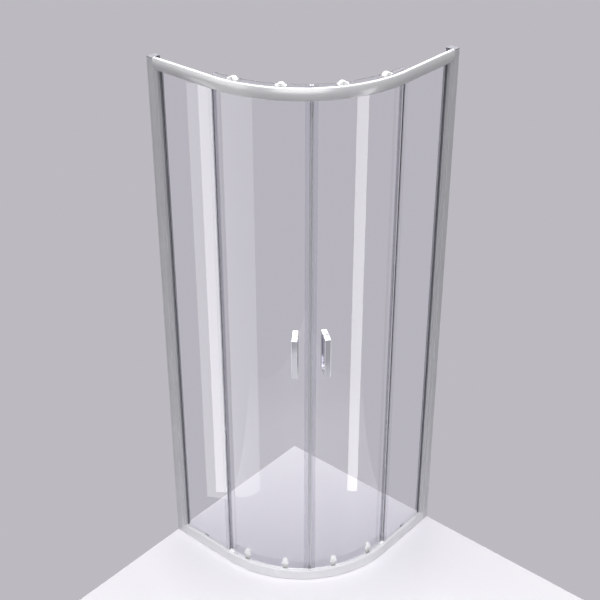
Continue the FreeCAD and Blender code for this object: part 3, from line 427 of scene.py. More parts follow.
post_outer = HALF_SIDE - PROFILE_WALL - SLIDE_GAP
post_inner = profile_back + PROFILE_WALL + SLIDE_GAP
post_front = RAIL_END - POST_REVEAL
slot_outer = HALF_SIDE - BOX_DEPTH
slot_inner = HALF_SIDE - SLOT_BACK
post = [
    (post_outer, post_front),
    (post_outer, post_front + POST_LENGTH),
    (post_inner, post_front + POST_LENGTH),
    (post_inner, post_front),
    (slot_inner, post_front),
    (slot_inner, post_front + POST_GROOVE),
    (slot_outer, post_front + POST_GROOVE),
    (slot_outer, post_front),
]
both_sides(extrusion(post, PROFILE_EDGE, BOTTOM_RAIL_HEIGHT, top_rail_low), "white_post", "frame",
           "frame_post_*", [shaded_white])


# Glass ------------------------------------------------------------------------------------------
# Toughened soda-lime glass, 4 mm thick: two flat panels held by rails and posts, and two doors bent on
# a mould. Its faces are clear and its ground edges look dark green, because light runs a long way
# through the sheet.

GLASS_THICKNESS = 4
GLASS_ARRIS = 0.5
ARRIS_STEPS = 2
DOOR_CLEARANCE = 9
DOOR_EDGE = 8
DOOR_OVERLAP = 22
DOOR_STEPS = 64
PANEL_FACE_COSINE = 0.9
DOOR_FACE_COSINE = 0.95
CLAMP_HOLE = 6
STUD_HOLE = 5.5
TOP_CLAMP_HEIGHT = 1939
BOTTOM_CLAMP_HEIGHT = 62
ROLLERS_FROM_SEAM = (90, 240)
HANDLE_FROM_SEAM = 52
STUD_HEIGHTS = (921, 1061)
SEAM = math.radians(-45)

door_outer = CORNER_RADIUS - TOP_RAIL_DEPTH - DOOR_CLEARANCE
door_inner = door_outer - GLASS_THICKNESS
door_middle = door_outer - GLASS_THICKNESS / 2


def along_door(distance):
    """The polar angle of a point this far from the seam along the right-hand door."""
    return SEAM + distance / door_middle


def on_arc(angle, height=0):
    """Places what is drawn with X as the radius at this polar angle of the bend."""
    return Matrix.Translation(BEND_CENTRE + Vector((0, 0, height))) @ Matrix.Rotation(angle, 4, "Z")


def clear_glass(name, code, lamp_code):
    """Float glass, smooth and clear. What lights other things shines straight through it, only dimmed, so it
    throws a faint shadow and no bright rings."""
    material, tree, place = new_material(name)
    ripple = add(tree, "ShaderNodeTexNoise", {}, {"Vector": place, "Scale": 6, "Detail": 0})
    relief = add(tree, "ShaderNodeBump", {}, {
        "Height": ripple.outputs["Fac"], "Strength": 0.02, "Distance": 0.001,
    })
    glass = add(tree, "ShaderNodeBsdfPrincipled", {}, {
        "Base Color": colour(code), "Roughness": 0, "IOR": 1.5, "Transmission Weight": 1,
        "Normal": relief.outputs["Normal"],
    })
    see_through = add(tree, "ShaderNodeBsdfTransparent", {}, {"Color": colour(lamp_code)})
    rays = add(tree, "ShaderNodeLightPath", {}, {})
    lit = add(tree, "ShaderNodeMath", {"operation": "MAXIMUM"}, {
        0: rays.outputs["Is Shadow Ray"], 1: rays.outputs["Is Diffuse Ray"],
    })
    mix = add(tree, "ShaderNodeMixShader", {}, {"Fac": lit.outputs["Value"]})
    tree.links.new(glass.outputs["BSDF"], mix.inputs[1])
    tree.links.new(see_through.outputs["BSDF"], mix.inputs[2])
    add(tree, "ShaderNodeOutputMaterial", {}, {"Surface": mix.outputs["Shader"]})
    return material


def edges_apart(bm, is_face):
    """Gives every face that isn't one of the sheet's two big sides the second material."""
    for face in bm.faces:
        face.material_index = 0 if is_face(face) else 1


sheet = [
    clear_glass("clear_float_glass", "#F8F7FB", "#C9C9D0"),
    clear_glass("ground_glass_edge", "#7A8F8C", "#7A8F8C"),
]

panel_low, panel_high = (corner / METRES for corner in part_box("fixed_glass_right"))
bm = bmesh.new()
bmesh.ops.create_cube(bm, size=1)
bmesh.ops.scale(bm, vec=panel_high - panel_low, verts=bm.verts)
bmesh.ops.translate(bm, vec=(panel_low + panel_high) / 2, verts=bm.verts)
bmesh.ops.bevel(
    bm, geom=bm.edges[:], offset=GLASS_ARRIS, segments=ARRIS_STEPS, profile=0.5, affect="EDGES",
    material=-1,
)
bm.normal_update()
edges_apart(bm, lambda face: abs(face.normal.x) > PANEL_FACE_COSINE)
both_sides(bm, "clear_panel", "frame", "fixed_glass_*", sheet)

door_low, door_high = (corner.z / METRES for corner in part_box("door_glass_right"))
door_start = along_door(DOOR_EDGE)
door_end = DOOR_OVERLAP / door_middle
bm = bmesh.new()
outline(bm, [
    (door_inner, door_low), (door_outer, door_low), (door_outer, door_high), (door_inner, door_high),
], GLASS_ARRIS)
bmesh.ops.delete(bm, geom=bm.faces[:], context="FACES_ONLY")
bmesh.ops.transform(
    bm, matrix=on_arc(door_start) @ Matrix.Rotation(math.radians(90), 4, "X"), verts=bm.verts,
)
bmesh.ops.spin(
    bm, geom=bm.edges[:], cent=BEND_CENTRE, axis=(0, 0, 1), angle=door_end - door_start,
    steps=DOOR_STEPS, use_merge=False, use_duplicate=False,
)
bmesh.ops.remove_doubles(bm, verts=bm.verts, dist=MERGE)
bmesh.ops.holes_fill(bm, edges=[e for e in bm.edges if e.is_boundary], sides=0)
bmesh.ops.recalc_face_normals(bm, faces=bm.faces)


def on_door_face(face):
    """Whether this is part of the bent sheet's inner or outer side."""
    out = face.calc_center_median() - BEND_CENTRE
    out.z = 0
    return abs(face.normal.dot(out.normalized())) > DOOR_FACE_COSINE


edges_apart(bm, on_door_face)
doors = both_sides(bm, "clear_door", "*_door", "door_glass_*", sheet)
holes = [
    (along_door(distance), height, CLAMP_HOLE)
    for distance in ROLLERS_FROM_SEAM for height in (TOP_CLAMP_HEIGHT, BOTTOM_CLAMP_HEIGHT)
]
holes += [(along_door(HANDLE_FROM_SEAM), height, STUD_HOLE) for height in STUD_HEIGHTS]
low, high = door_inner - CUT_MARGIN, door_outer + CUT_MARGIN
for door, side in zip(doors, SIDES):
    cut_away(door, [
        drill(low, high, radius, side @ on_arc(angle, height) @ lay_down)
        for angle, height, radius in holes
    ])


# Gaskets and seals ------------------------------------------------------------------------------
# Grey EPDM rubber grips the fixed glass, clear PVC profiles close the free edges of panels and doors,
# and pale rubber blocks stop the doors. The profiles at the seam hold a flexible magnet each, which
# draws the doors together.

EDGE_SEAL_GRIP = 6
EDGE_SEAL_WALL = 0.8
EDGE_SEAL_NOSE = 2.5
SEAL_FIT = 0.05
SEAL_EDGE = 0.2


def rubber(name, dark, light):
    """Extruded EPDM: matt, with fine streaks along its length from the die."""
    material, tree, place = new_material(name)
    stretched = add(tree, "ShaderNodeMapping", {}, {"Vector": place, "Scale": (400, 400, 12)})
    streaks = add(tree, "ShaderNodeTexNoise", {}, {"Vector": stretched.outputs["Vector"], "Scale": 1})
    tint = add(tree, "ShaderNodeMix", {"data_type": "RGBA"}, {
        "Factor": streaks.outputs["Fac"], "A": colour(dark), "B": colour(light),
    })
    relief = add(tree, "ShaderNodeBump", {}, {
        "Height": streaks.outputs["Fac"], "Strength": 0.2, "Distance": 0.0002,
    })
    skin = add(tree, "ShaderNodeBsdfPrincipled", {}, {
        "Base Color": tint.outputs["Result"], "Roughness": 0.7, "Normal": relief.outputs["Normal"],
    })
    add(tree, "ShaderNodeOutputMaterial", {}, {"Surface": skin.outputs["BSDF"]})
    return material


def clear_pvc():
    """Extruded soft PVC: clear, with a milky cast that shows where the eye looks along a wall, and fine die
    lines down its length."""
    material, tree, place = new_material("clear_soft_pvc")
    stretched = add(tree, "ShaderNodeMapping", {}, {"Vector": place, "Scale": (500, 500, 3)})
    lines = add(tree, "ShaderNodeTexNoise", {}, {"Vector": stretched.outputs["Vector"], "Scale": 1})
    relief = add(tree, "ShaderNodeBump", {}, {
        "Height": lines.outputs["Fac"], "Strength": 0.1, "Distance": 0.0002,
    })
    slant = add(tree, "ShaderNodeLayerWeight", {}, {"Blend": 0.3, "Normal": relief.outputs["Normal"]})
    milk = add(tree, "ShaderNodeMapRange", {}, {
        "Value": slant.outputs["Facing"], "From Min": 0, "From Max": 1, "To Min": 0, "To Max": 0.5,
    })
    vinyl = add(tree, "ShaderNodeBsdfPrincipled", {}, {
        "Base Color": colour("#E9E9EF"), "Roughness": 0.2, "IOR": 1.45, "Normal": relief.outputs["Normal"],
    })
    see_through = add(tree, "ShaderNodeBsdfTransparent", {}, {"Color": colour("#FDFDFE")})
    mix = add(tree, "ShaderNodeMixShader", {}, {"Fac": milk.outputs["Result"]})
    tree.links.new(see_through.outputs["BSDF"], mix.inputs[1])
    tree.links.new(vinyl.outputs["BSDF"], mix.inputs[2])
    add(tree, "ShaderNodeOutputMaterial", {}, {"Surface": mix.outputs["Shader"]})
    return material


def magnet():
    """Flexible ferrite magnet in a pale binder: matt, with a slight mottle from the powder in it."""
    material, tree, place = new_material("pale_flexible_magnet")
    mottle = add(tree, "ShaderNodeTexNoise", {}, {"Vector": place, "Scale": 300, "Detail": 3})
    tint = add(tree, "ShaderNodeMix", {"data_type": "RGBA"}, {
        "Factor": mottle.outputs["Fac"], "A": colour("#DEDEE4"), "B": colour("#E8E8ED"),
    })
    skin = add(tree, "ShaderNodeBsdfPrincipled", {}, {
        "Base Color": tint.outputs["Result"], "Roughness": 0.6,
    })
    add(tree, "ShaderNodeOutputMaterial", {}, {"Surface": skin.outputs["BSDF"]})
    return material


def dress(material, names):
    """Gives CAD nodes whose shape is right their finish."""
    for name in names:
        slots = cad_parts[name].data.materials
        slots.clear()
        slots.append(material)


def sided(*names):
    """The names of both sides' nodes."""
    return [f"{name}_{side}" for name in names for side in ("left", "right")]


epdm = rubber("grey_epdm_rubber", "#6C6D73", "#7C7D83")
vinyl = clear_pvc()
dress(epdm, ["rail_gaskets", *sided("post_gasket")])
dress(rubber("pale_stop_rubber", "#C6C6CB", "#D2D2D7"), ["door_stops"])
dress(vinyl, sided("magnet_carrier", "rear_seal", "handle_washers"))
dress(magnet(), sided("magnet_strip"))

grip = panel_low.y + EDGE_SEAL_GRIP
outer, inner = panel_high.x + EDGE_SEAL_WALL, panel_low.x - EDGE_SEAL_WALL
nose = panel_low.y - EDGE_SEAL_NOSE
edge_seal = [
    (inner, grip),
    (panel_low.x - SEAL_FIT, grip),
    (panel_low.x - SEAL_FIT, panel_low.y - SEAL_FIT),
    (panel_high.x + SEAL_FIT, panel_low.y - SEAL_FIT),
    (panel_high.x + SEAL_FIT, grip),
    (outer, grip),
    (outer, nose + EDGE_SEAL_WALL),
    (outer - EDGE_SEAL_WALL, nose),
    (inner + EDGE_SEAL_WALL, nose),
    (inner, nose + EDGE_SEAL_WALL),
]
seal_foot, seal_top = (corner.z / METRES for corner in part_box("edge_seal_right"))
both_sides(extrusion(edge_seal, SEAL_EDGE, seal_foot, seal_top), "clear_edge_seal", "frame",
           "edge_seal_*", [vinyl])


# Screws, bolts and axles ------------------------------------------------------------------------
# Turned and cold-headed stainless steel. Most of it is hidden in the frame, under caps and inside the
# rollers.


def stainless():
    """Stainless steel as it comes off the lathe, with faint turning marks."""
    material, tree, place = new_material("turned_stainless_steel")
    marks = add(tree, "ShaderNodeTexNoise", {}, {"Vector": place, "Scale": 900, "Detail": 1})
    shine = add(tree, "ShaderNodeMapRange", {}, {
        "Value": marks.outputs["Fac"], "To Min": 0.22, "To Max": 0.38,
    })
    steel = add(tree, "ShaderNodeBsdfPrincipled", {}, {
        "Base Color": colour("#C4C5C8"), "Metallic": 1, "Roughness": shine.outputs["Result"],
    })
    add(tree, "ShaderNodeOutputMaterial", {}, {"Surface": steel.outputs["BSDF"]})
    return material


dress(stainless(), [
    "rail_screws",
    "adjust_screws",
    *sided("top_clamp_bolts", "bottom_clamp_bolts", "roller_axles", "handle_studs"),
])


# Upper rollers ----------------------------------------------------------------------------------
# Moulded white acetal: a plate behind the rail clamps the glass and carries an arched hood over the
# wheel, open below, with a raised ring round its eye. The wheel inside runs on the rail's track.

PLATE_GAP = 0.3
PLATE_THICKNESS = 3.5
PLATE_EDGE = 0.4
BOSS_RADIUS = 5.7
BOSS_ROOT = 1
BOLT_BORE = 3.2
CROWN_SHARE = 0.95
TOP_AXLE_HEIGHT = 1946.8
TOP_PLATE_LOW = 1925
TOP_PLATE_HALF = 13
TOP_WHEEL_RADIUS = 11
TOP_WHEEL = (400.7, 405.7)
HOOD_WALL = 2
HOOD_OVERLAP = 0.2
HOOD_LOW = 1936.5
HOOD_ROOM = 12.2
HOOD_FRONT = 408.7
HOOD_HALF = HOOD_ROOM + HOOD_WALL
FOOT_LOW = FRAME_HEIGHT + 1
FOOT_HALF = HOOD_HALF + 2.8
DOME_LOW = FOOT_LOW + 1.8
DOME_HALF = HOOD_HALF - 1.6
DOME_RISE = TOP_AXLE_HEIGHT + HOOD_ROOM * CROWN_SHARE + HOOD_WALL - DOME_LOW
ARCH_STEPS = 24
MOULD_EDGE = 0.7
SOFT_STEPS = 4
EYE_HEIGHT = FOOT_LOW + 5
EYE_RADIUS = 2.8
EYE_DEPTH = HOOD_WALL + 0.5
RING_WALL = 1.4
RING_HEIGHT = 0.9
RING_EDGE = 0.3
TURN_STEPS = 48
TOP_AXLE_RADIUS = 2.7

plate_back = door_outer + PLATE_GAP
plate_front = plate_back + PLATE_THICKNESS


def moulded_plastic(name, light, dark, rough, painted_glow=0):
    """Injection-moulded acetal or nylon: a mould's satin sheen, slight flow marks, and for the whitest kind
    a faint painted glow, emission that lifts its faces lying in shade."""
    material, tree, place = new_material(name)
    flow = add(tree, "ShaderNodeTexNoise", {}, {"Vector": place, "Scale": 90, "Detail": 3})
    tint = add(tree, "ShaderNodeMix", {"data_type": "RGBA"}, {
        "Factor": flow.outputs["Fac"], "A": colour(dark), "B": colour(light),
    })
    shine = add(tree, "ShaderNodeMapRange", {}, {
        "Value": flow.outputs["Fac"], "To Min": rough - 0.05, "To Max": rough + 0.05,
    })
    plastic = add(tree, "ShaderNodeBsdfPrincipled", {}, {
        "Base Color": tint.outputs["Result"], "Roughness": shine.outputs["Result"], "IOR": 1.48,
        # Emission in the plastic's own colour is a painted glow that brightens faces lying in shade.
        "Emission Color": colour(light), "Emission Strength": painted_glow,
    })
    add(tree, "ShaderNodeOutputMaterial", {}, {"Surface": plastic.outputs["BSDF"]})
    return material


def arched(half_width, low, spring):
    """An outline with upright sides and a round top: across and up."""
    angles = [math.pi * step / ARCH_STEPS for step in range(ARCH_STEPS + 1)]
    rise = half_width * CROWN_SHARE
    return [(-half_width, low), (half_width, low)] + [
        (half_width * math.cos(a), spring + rise * math.sin(a)) for a in angles
    ]


def soften(bm, edges, radius):
    """Rounds edges off, as a mould or polishing does."""
    bmesh.ops.bevel(
        bm, geom=edges, offset=radius, offset_type="OFFSET", segments=SOFT_STEPS, profile=0.5,
        affect="EDGES", material=-1, clamp_overlap=True,
    )


def slab(corners, rounding, back, front, edge=0):
    """An outline drawn across and up, given its thickness along the radius, with its front rim rounded."""
    bm = bmesh.new()
    grow(bm, outline(bm, corners, rounding), front - back)
    if edge:
        rim = [e for e in bm.edges if min(v.co.z for v in e.verts) > front - back - MERGE]
        soften(bm, rim, edge)
    outwards = Matrix(((0, 0, 1, back), (1, 0, 0, 0), (0, 1, 0, 0), (0, 0, 0, 1)))
    bmesh.ops.transform(bm, matrix=outwards, verts=bm.verts)
    return bm


def turned(points):
    """Spins an outline of distance along the X axis and radius round it."""
    bm = bmesh.new()
    face = bm.faces.new([bm.verts.new((x, r, 0)) for x, r in points])
    bmesh.ops.delete(bm, geom=[face], context="FACES_ONLY")
    on_axis = [e for e in bm.edges if all(v.co.y == 0 for v in e.verts)]
    bmesh.ops.delete(bm, geom=on_axis, context="EDGES")
    bmesh.ops.spin(
        bm, geom=bm.edges[:], cent=(0, 0, 0), axis=(1, 0, 0), angle=math.radians(360), steps=TURN_STEPS,
        use_merge=True, use_duplicate=False,
    )
    bmesh.ops.remove_doubles(bm, verts=bm.verts, dist=MERGE / 2)
    bmesh.ops.dissolve_degenerate(bm, edges=bm.edges, dist=MERGE / 2)
    bmesh.ops.recalc_face_normals(bm, faces=bm.faces)
    return bm


def join(parts):
    """Puts several meshes together as loose shells of one piece, each moved by its own matrix."""
    whole = bmesh.new()
    for part, matrix in parts:
        bmesh.ops.transform(part, matrix=matrix, verts=part.verts)
        mesh = bpy.data.meshes.new("part")
        part.to_mesh(mesh)
        part.free()
        whole.from_mesh(mesh)
        bpy.data.meshes.remove(mesh)
    return whole


def hollow(bm, tools):
    """Takes other meshes out of this one, all in millimetres."""
    piece, *cutters = (as_object(mesh, "tool") for mesh in (bm, *tools))
    cut_away(piece, cutters)
    result = bmesh.new()
    result.from_mesh(piece.data)
    bpy.data.meshes.remove(piece.data)
    return result


def pin(low, high, radius, height):
    """A round bar along X at this height."""
    return rod(low, high, radius, Matrix.Translation((0, 0, height)) @ lay_down)


def ring(inner, outer, back, front):
    """A raised ring round the X axis with a rounded front."""
    middle = (inner + outer) / 2
    brink = front - RING_EDGE
    crown = [(brink, outer), (front, middle + RING_EDGE), (front, middle - RING_EDGE), (brink, inner)]
    return turned([(back, inner), (back, outer), *crown])


def clamp_boss():
    """The collar that fills the glass's hole round the clamp bolt."""
    root = plate_back + BOSS_ROOT
    return turned([
        (door_inner, BOLT_BORE),
        (door_inner, BOSS_RADIUS),
        (root, BOSS_RADIUS),
        (root, BOLT_BORE),
    ])


def domed(half_width, low, rise):
    """A shallow arc over a flat chord: across and up."""
    radius = (half_width ** 2 + rise ** 2) / (2 * rise)
    spread = math.asin(half_width / radius)
    angles = [spread * (1 - 2 * step / ARCH_STEPS) for step in range(ARCH_STEPS + 1)]
    return [(radius * math.sin(a), low + rise - radius * (1 - math.cos(a))) for a in angles]


def upper_roller():
    """One roller's clamp plate with its boss and its hood."""
    half = TOP_PLATE_HALF
    plate = slab(
        [(-half / 2, TOP_PLATE_LOW), (half / 2, TOP_PLATE_LOW), (half, TOP_PLATE_LOW + half / 2)]
        + arched(half, 0, TOP_AXLE_HEIGHT)[2:] + [(-half, TOP_PLATE_LOW + half / 2)],
        0, plate_back, plate_front, PLATE_EDGE,
    )
    hood = slab([
        (-HOOD_HALF, HOOD_LOW),
        (HOOD_HALF, HOOD_LOW),
        (HOOD_HALF, FOOT_LOW),
        (FOOT_HALF, FOOT_LOW),
        (FOOT_HALF, DOME_LOW),
        *domed(DOME_HALF, DOME_LOW, DOME_RISE),
        (-FOOT_HALF, DOME_LOW),
        (-FOOT_HALF, FOOT_LOW),
        (-HOOD_HALF, FOOT_LOW),
    ], 0, plate_front - HOOD_OVERLAP, HOOD_FRONT, MOULD_EDGE)
    room = slab(
        arched(HOOD_ROOM, HOOD_LOW - CUT_MARGIN, TOP_AXLE_HEIGHT),
        0, plate_front + HOOD_WALL, HOOD_FRONT - HOOD_WALL,
    )
    bore = pin(plate_front - CUT_MARGIN, HOOD_FRONT + CUT_MARGIN, TOP_AXLE_RADIUS, TOP_AXLE_HEIGHT)
    eye = pin(HOOD_FRONT - EYE_DEPTH, HOOD_FRONT + CUT_MARGIN, EYE_RADIUS, EYE_HEIGHT)
    collar = ring(EYE_RADIUS, EYE_RADIUS + RING_WALL, HOOD_FRONT - RING_EDGE, HOOD_FRONT + RING_HEIGHT)
    still = Matrix.Identity(4)
    return join([
        (plate, still),
        (hollow(hood, [room, bore, eye]), still),
        (clamp_boss(), Matrix.Translation((0, 0, TOP_CLAMP_HEIGHT))),
        (collar, Matrix.Translation((0, 0, EYE_HEIGHT))),
    ])


# The white acetal gets a painted glow of 0.14, lifting its shaded faces such as the release buttons.
acetal = moulded_plastic("white_moulded_acetal", "#FCFCFD", "#F7F7F9", 0.28, 0.14)
roller_places = [on_arc(along_door(distance)) for distance in ROLLERS_FROM_SEAM]
both_sides(join([(upper_roller(), place) for place in roller_places]), "roller_hoods", "*_door",
           "top_roller_housings_*", [acetal])


# Covers inside the shower -----------------------------------------------------------------------
# Small domed caps of the same acetal hide the clamp bolts' heads, and others hide the adjusting screws.
# White clips of it hold the foot of the fixed glass.

COVER_RADIUS = 9
COVER_HEIGHT = 8
COVER_WALL = 2
COVER_SHOULDER = 4
COVER_CROWN = 0.45
BOLT_HEAD = 2.8
DOME_STEPS = 8


def cover():
    """A domed cap, open towards the glass."""
    rim = door_inner - PLATE_GAP
    bore = COVER_RADIUS - COVER_WALL
    angles = [math.radians(90) * step / DOME_STEPS for step in range(DOME_STEPS + 1)]
    rise = COVER_HEIGHT - COVER_SHOULDER
    dome = [
        (rim - COVER_SHOULDER - rise * math.sin(a),
         COVER_RADIUS * (COVER_CROWN + (1 - COVER_CROWN) * math.cos(a)))
        for a in angles
    ]
    crown = rim - COVER_HEIGHT
    ceiling = crown + COVER_WALL
    inside = [(crown, 0), (ceiling, 0), (ceiling, bore / 2), (rim - BOLT_HEAD, bore)]
    return turned([(rim, bore), (rim, COVER_RADIUS), *dome, *inside])


both_sides(join([
    (cover(), place @ Matrix.Translation((0, 0, TOP_CLAMP_HEIGHT))) for place in roller_places
]), "bolt_covers", "*_door", "top_clamp_caps_*", [acetal])
dress(acetal, ["screw_caps", "glass_clips"])


# Lower rollers ----------------------------------------------------------------------------------
# A carrier hangs behind the bottom rail and holds a small wheel on the ledge. Over its clamp sits the
# release button, a hollow cap like a triangle with blunt corners, with an eye in the middle.

BOTTOM_AXLE_HEIGHT = 27.3
BOTTOM_WHEEL_RADIUS = 9
BOTTOM_AXLE_RADIUS = 2.2
CARRIER_HALF = 10
CARRIER_FOOT = 7
CARRIER_CROWN = 67
WHEEL_SPACER = 0.8
BOTTOM_WHEEL_WIDTH = 3.8
BOTTOM_WHEEL = (plate_front + WHEEL_SPACER, plate_front + WHEEL_SPACER + BOTTOM_WHEEL_WIDTH)
BUTTON_HALF = 14
BUTTON_HEIGHT = 29
BUTTON_SHOULDER = 7
BUTTON_TOP_HALF = 4.5
BUTTON_DEPTH = 4.4
BUTTON_GAP = 0.2
BUTTON_ROUNDING = 4
BUTTON_EDGE = 2.4
BUTTON_WALL = 1.6
BUTTON_EYE = 3
ROUNDING_STEPS = 6


def carrier():
    """The lower clamp plate, round at its foot and crown."""
    foot = [
        (-CARRIER_FOOT * math.cos(a), BOTTOM_AXLE_HEIGHT - CARRIER_FOOT * CROWN_SHARE * math.sin(a))
        for a in (math.pi * step / ARCH_STEPS for step in range(ARCH_STEPS + 1))
    ]
    shoulder = BOTTOM_AXLE_HEIGHT + BOTTOM_WHEEL_RADIUS
    crown = arched(CARRIER_HALF, 0, CARRIER_CROWN)[2:]
    plate = slab(
        foot + [(CARRIER_HALF, shoulder)] + crown + [(-CARRIER_HALF, shoulder)],
        0, plate_back, plate_front, MOULD_EDGE,
    )
    eye = pin(plate_back - CUT_MARGIN, plate_front + CUT_MARGIN, BOTTOM_AXLE_RADIUS, BOTTOM_AXLE_HEIGHT)
    return join([
        (hollow(plate, [eye]), Matrix.Identity(4)),
        (clamp_boss(), Matrix.Translation((0, 0, BOTTOM_CLAMP_HEIGHT))),
    ])


def rounded(corners, radius):
    """An outline with an arc in place of each corner."""
    points = []
    for before, corner, after in zip(corners[-1:] + corners[:-1], corners, corners[1:] + corners[:1]):
        corner = Vector(corner)
        back, ahead = (Vector(before) - corner).normalized(), (Vector(after) - corner).normalized()
        half = back.angle(ahead) / 2
        centre = corner + (back + ahead).normalized() * radius / math.sin(half)
        start, end = (corner + way * radius / math.tan(half) - centre for way in (back, ahead))
        shares = (step / ROUNDING_STEPS for step in range(ROUNDING_STEPS + 1))
        points += [centre + start.slerp(end, share) * radius for share in shares]
    return points


def button():
    """The release button, dished at the back and softly rounded in front."""
    low = BOTTOM_CLAMP_HEIGHT - BUTTON_HEIGHT / 2
    back = plate_front + BUTTON_GAP

    def triangle(margin):
        half = BUTTON_HALF - margin
        top = BUTTON_TOP_HALF - margin / 2
        high = low + BUTTON_HEIGHT - margin
        return [
            (-half, low + margin),
            (half, low + margin),
            (half, low + BUTTON_SHOULDER),
            (top, high),
            (-top, high),
            (-half, low + BUTTON_SHOULDER),
        ]

    block = slab(rounded(triangle(0), BUTTON_ROUNDING), 0, back, back + BUTTON_DEPTH, BUTTON_EDGE)
    inside = rounded(triangle(BUTTON_WALL), BUTTON_ROUNDING - BUTTON_WALL)
    dish = slab(inside, 0, back - CUT_MARGIN, back + BUTTON_DEPTH - BUTTON_WALL)
    eye = pin(back, back + BUTTON_DEPTH + CUT_MARGIN, BUTTON_EYE, BOTTOM_CLAMP_HEIGHT)
    return hollow(block, [dish, eye])


both_sides(join([(carrier(), place) for place in roller_places]), "lower_carriers", "*_door",
           "bottom_roller_carriers_*", [acetal])
both_sides(join([(button(), place) for place in roller_places]), "release_caps", "*_door",
           "release_buttons_*", [acetal])


# Wheels -----------------------------------------------------------------------------------------
# Moulded nylon wheels with a hub, a thinner web and a rim with broken edges, turning on steel axles.
# Each door has two large ones on the top rail and two small ones on the bottom rail's ledge.

WHEEL_RIM = 2
WEB_RECESS = 1
WEB_SLOPE = 0.3
TREAD_CHAMFER = 0.6
TOP_WHEEL_BORE = 2.56
BOTTOM_WHEEL_BORE = 2.06


def wheel(span, radius, bore):
    """One wheel round the X axis, between two distances along it."""
    inner, outer = span
    hub = bore + WHEEL_RIM
    rim = radius - WHEEL_RIM
    return turned([
        (inner, bore),
        (inner, hub),
        (inner + WEB_RECESS, hub + WEB_SLOPE),
        (inner + WEB_RECESS, rim - WEB_SLOPE),
        (inner, rim),
        (inner, radius - TREAD_CHAMFER),
        (inner + TREAD_CHAMFER, radius),
        (outer - TREAD_CHAMFER, radius),
        (outer, radius - TREAD_CHAMFER),
        (outer, rim),
        (outer - WEB_RECESS, rim - WEB_SLOPE),
        (outer - WEB_RECESS, hub + WEB_SLOPE),
        (outer, hub),
        (outer, bore),
    ])


nylon = moulded_plastic("moulded_nylon", "#E9E9E4", "#E0E0DA", 0.4)
for kind, span, radius, bore, height in (
    ("top_wheel", TOP_WHEEL, TOP_WHEEL_RADIUS, TOP_WHEEL_BORE, TOP_AXLE_HEIGHT),
    ("bottom_wheel", BOTTOM_WHEEL, BOTTOM_WHEEL_RADIUS, BOTTOM_WHEEL_BORE, BOTTOM_AXLE_HEIGHT),
):
    for number, place in enumerate(roller_places, start=1):
        disc = wheel(span, radius, bore)
        bmesh.ops.transform(disc, matrix=place @ Matrix.Translation((0, 0, height)), verts=disc.verts)
        both_sides(disc, f"nylon_{kind}_{number}", f"{kind}_*_{number}",
                   f"{kind}_*_{number}", [nylon])


# Handles ----------------------------------------------------------------------------------------
# Zinc castings, polished and chrome plated: a square bar on two square arms, one outside and one inside
# each door, joined through the glass by studs, with clear washers between metal and glass.

HANDLE_FOOT = 915
HANDLE_HEIGHT = 152
HANDLE_WIDTH = 20
HANDLE_REACH = 32.5
HANDLE_BAR = 10
HANDLE_ARM = 12
HANDLE_SEAT = 1.1
HANDLE_EDGE = 1.2
HANDLE_CREASE = 40


def chrome():
    """Bright chrome plate over polished zinc: a mirror that hairline polishing marks soften a little."""
    material, tree, place = new_material("chrome_plate")
    stretched = add(tree, "ShaderNodeMapping", {}, {"Vector": place, "Scale": (300, 300, 40)})
    marks = add(tree, "ShaderNodeTexNoise", {}, {"Vector": stretched.outputs["Vector"], "Scale": 1})
    shine = add(tree, "ShaderNodeMapRange", {}, {
        "Value": marks.outputs["Fac"], "To Min": 0.05, "To Max": 0.11,
    })
    plate = add(tree, "ShaderNodeBsdfPrincipled", {}, {
        "Base Color": colour("#D2D3D6"), "Metallic": 1, "Roughness": shine.outputs["Result"],
    })
    add(tree, "ShaderNodeOutputMaterial", {}, {"Surface": plate.outputs["BSDF"]})
    return material


def handle(side):
    """A handle on the outer (1) or inner (-1) face of the door."""
    foot = door_middle + side * (GLASS_THICKNESS / 2 + HANDLE_SEAT)
    front = door_middle + side * (GLASS_THICKNESS / 2 + HANDLE_REACH)
    grip = front - side * HANDLE_BAR
    low, high = HANDLE_FOOT, HANDLE_FOOT + HANDLE_HEIGHT
    bm = bmesh.new()
    grow(bm, outline(bm, [
        (foot, low),
        (front, low),
        (front, high),
        (foot, high),
        (foot, high - HANDLE_ARM),
        (grip, high - HANDLE_ARM),
        (grip, low + HANDLE_ARM),
        (foot, low + HANDLE_ARM),
    ], 0), HANDLE_WIDTH)
    soften(bm, bm.edges[:], HANDLE_EDGE)
    stand = Matrix(((1, 0, 0, 0), (0, 0, -1, HANDLE_WIDTH / 2), (0, 1, 0, 0), (0, 0, 0, 1)))
    bmesh.ops.transform(bm, matrix=on_arc(along_door(HANDLE_FROM_SEAM)) @ stand, verts=bm.verts)
    return bm


mirror_finish = chrome()
both_sides(handle(1), "chrome_handle_outer", "*_door", "handle_outer_*",
           [mirror_finish], HANDLE_CREASE)
both_sides(handle(-1), "chrome_handle_inner", "*_door", "handle_inner_*",
           [mirror_finish], HANDLE_CREASE)


# Floor, light and camera ------------------------------------------------------------------------
# A small pale floor that turns grey towards its far edges, as painted shade for light falling off, a wide
# light overhead with a low fill and a light behind, and five softboxes in front that show as reflections
# only. The camera looks down into the corner.

FLOOR_REACH = 1.9
FLOOR_DROP = 0.0003
FLOOR_SHADE_FALLOFF = (1.15, 1.55)
BACKDROP_TONE = "#BCBAC0"
CEILING_TONE = "#FFFFFF"
AMBIENT = 0.16
CAMERA_PLACE = (2.3927, -2.8078, 3.2727)
CAMERA_YAW = 40.648
CAMERA_PITCH = 31.241
FOCAL_LENGTH = 73.15
SENSOR_WIDTH = 36
REFLECTED_ONLY = ("diffuse", "transmission")


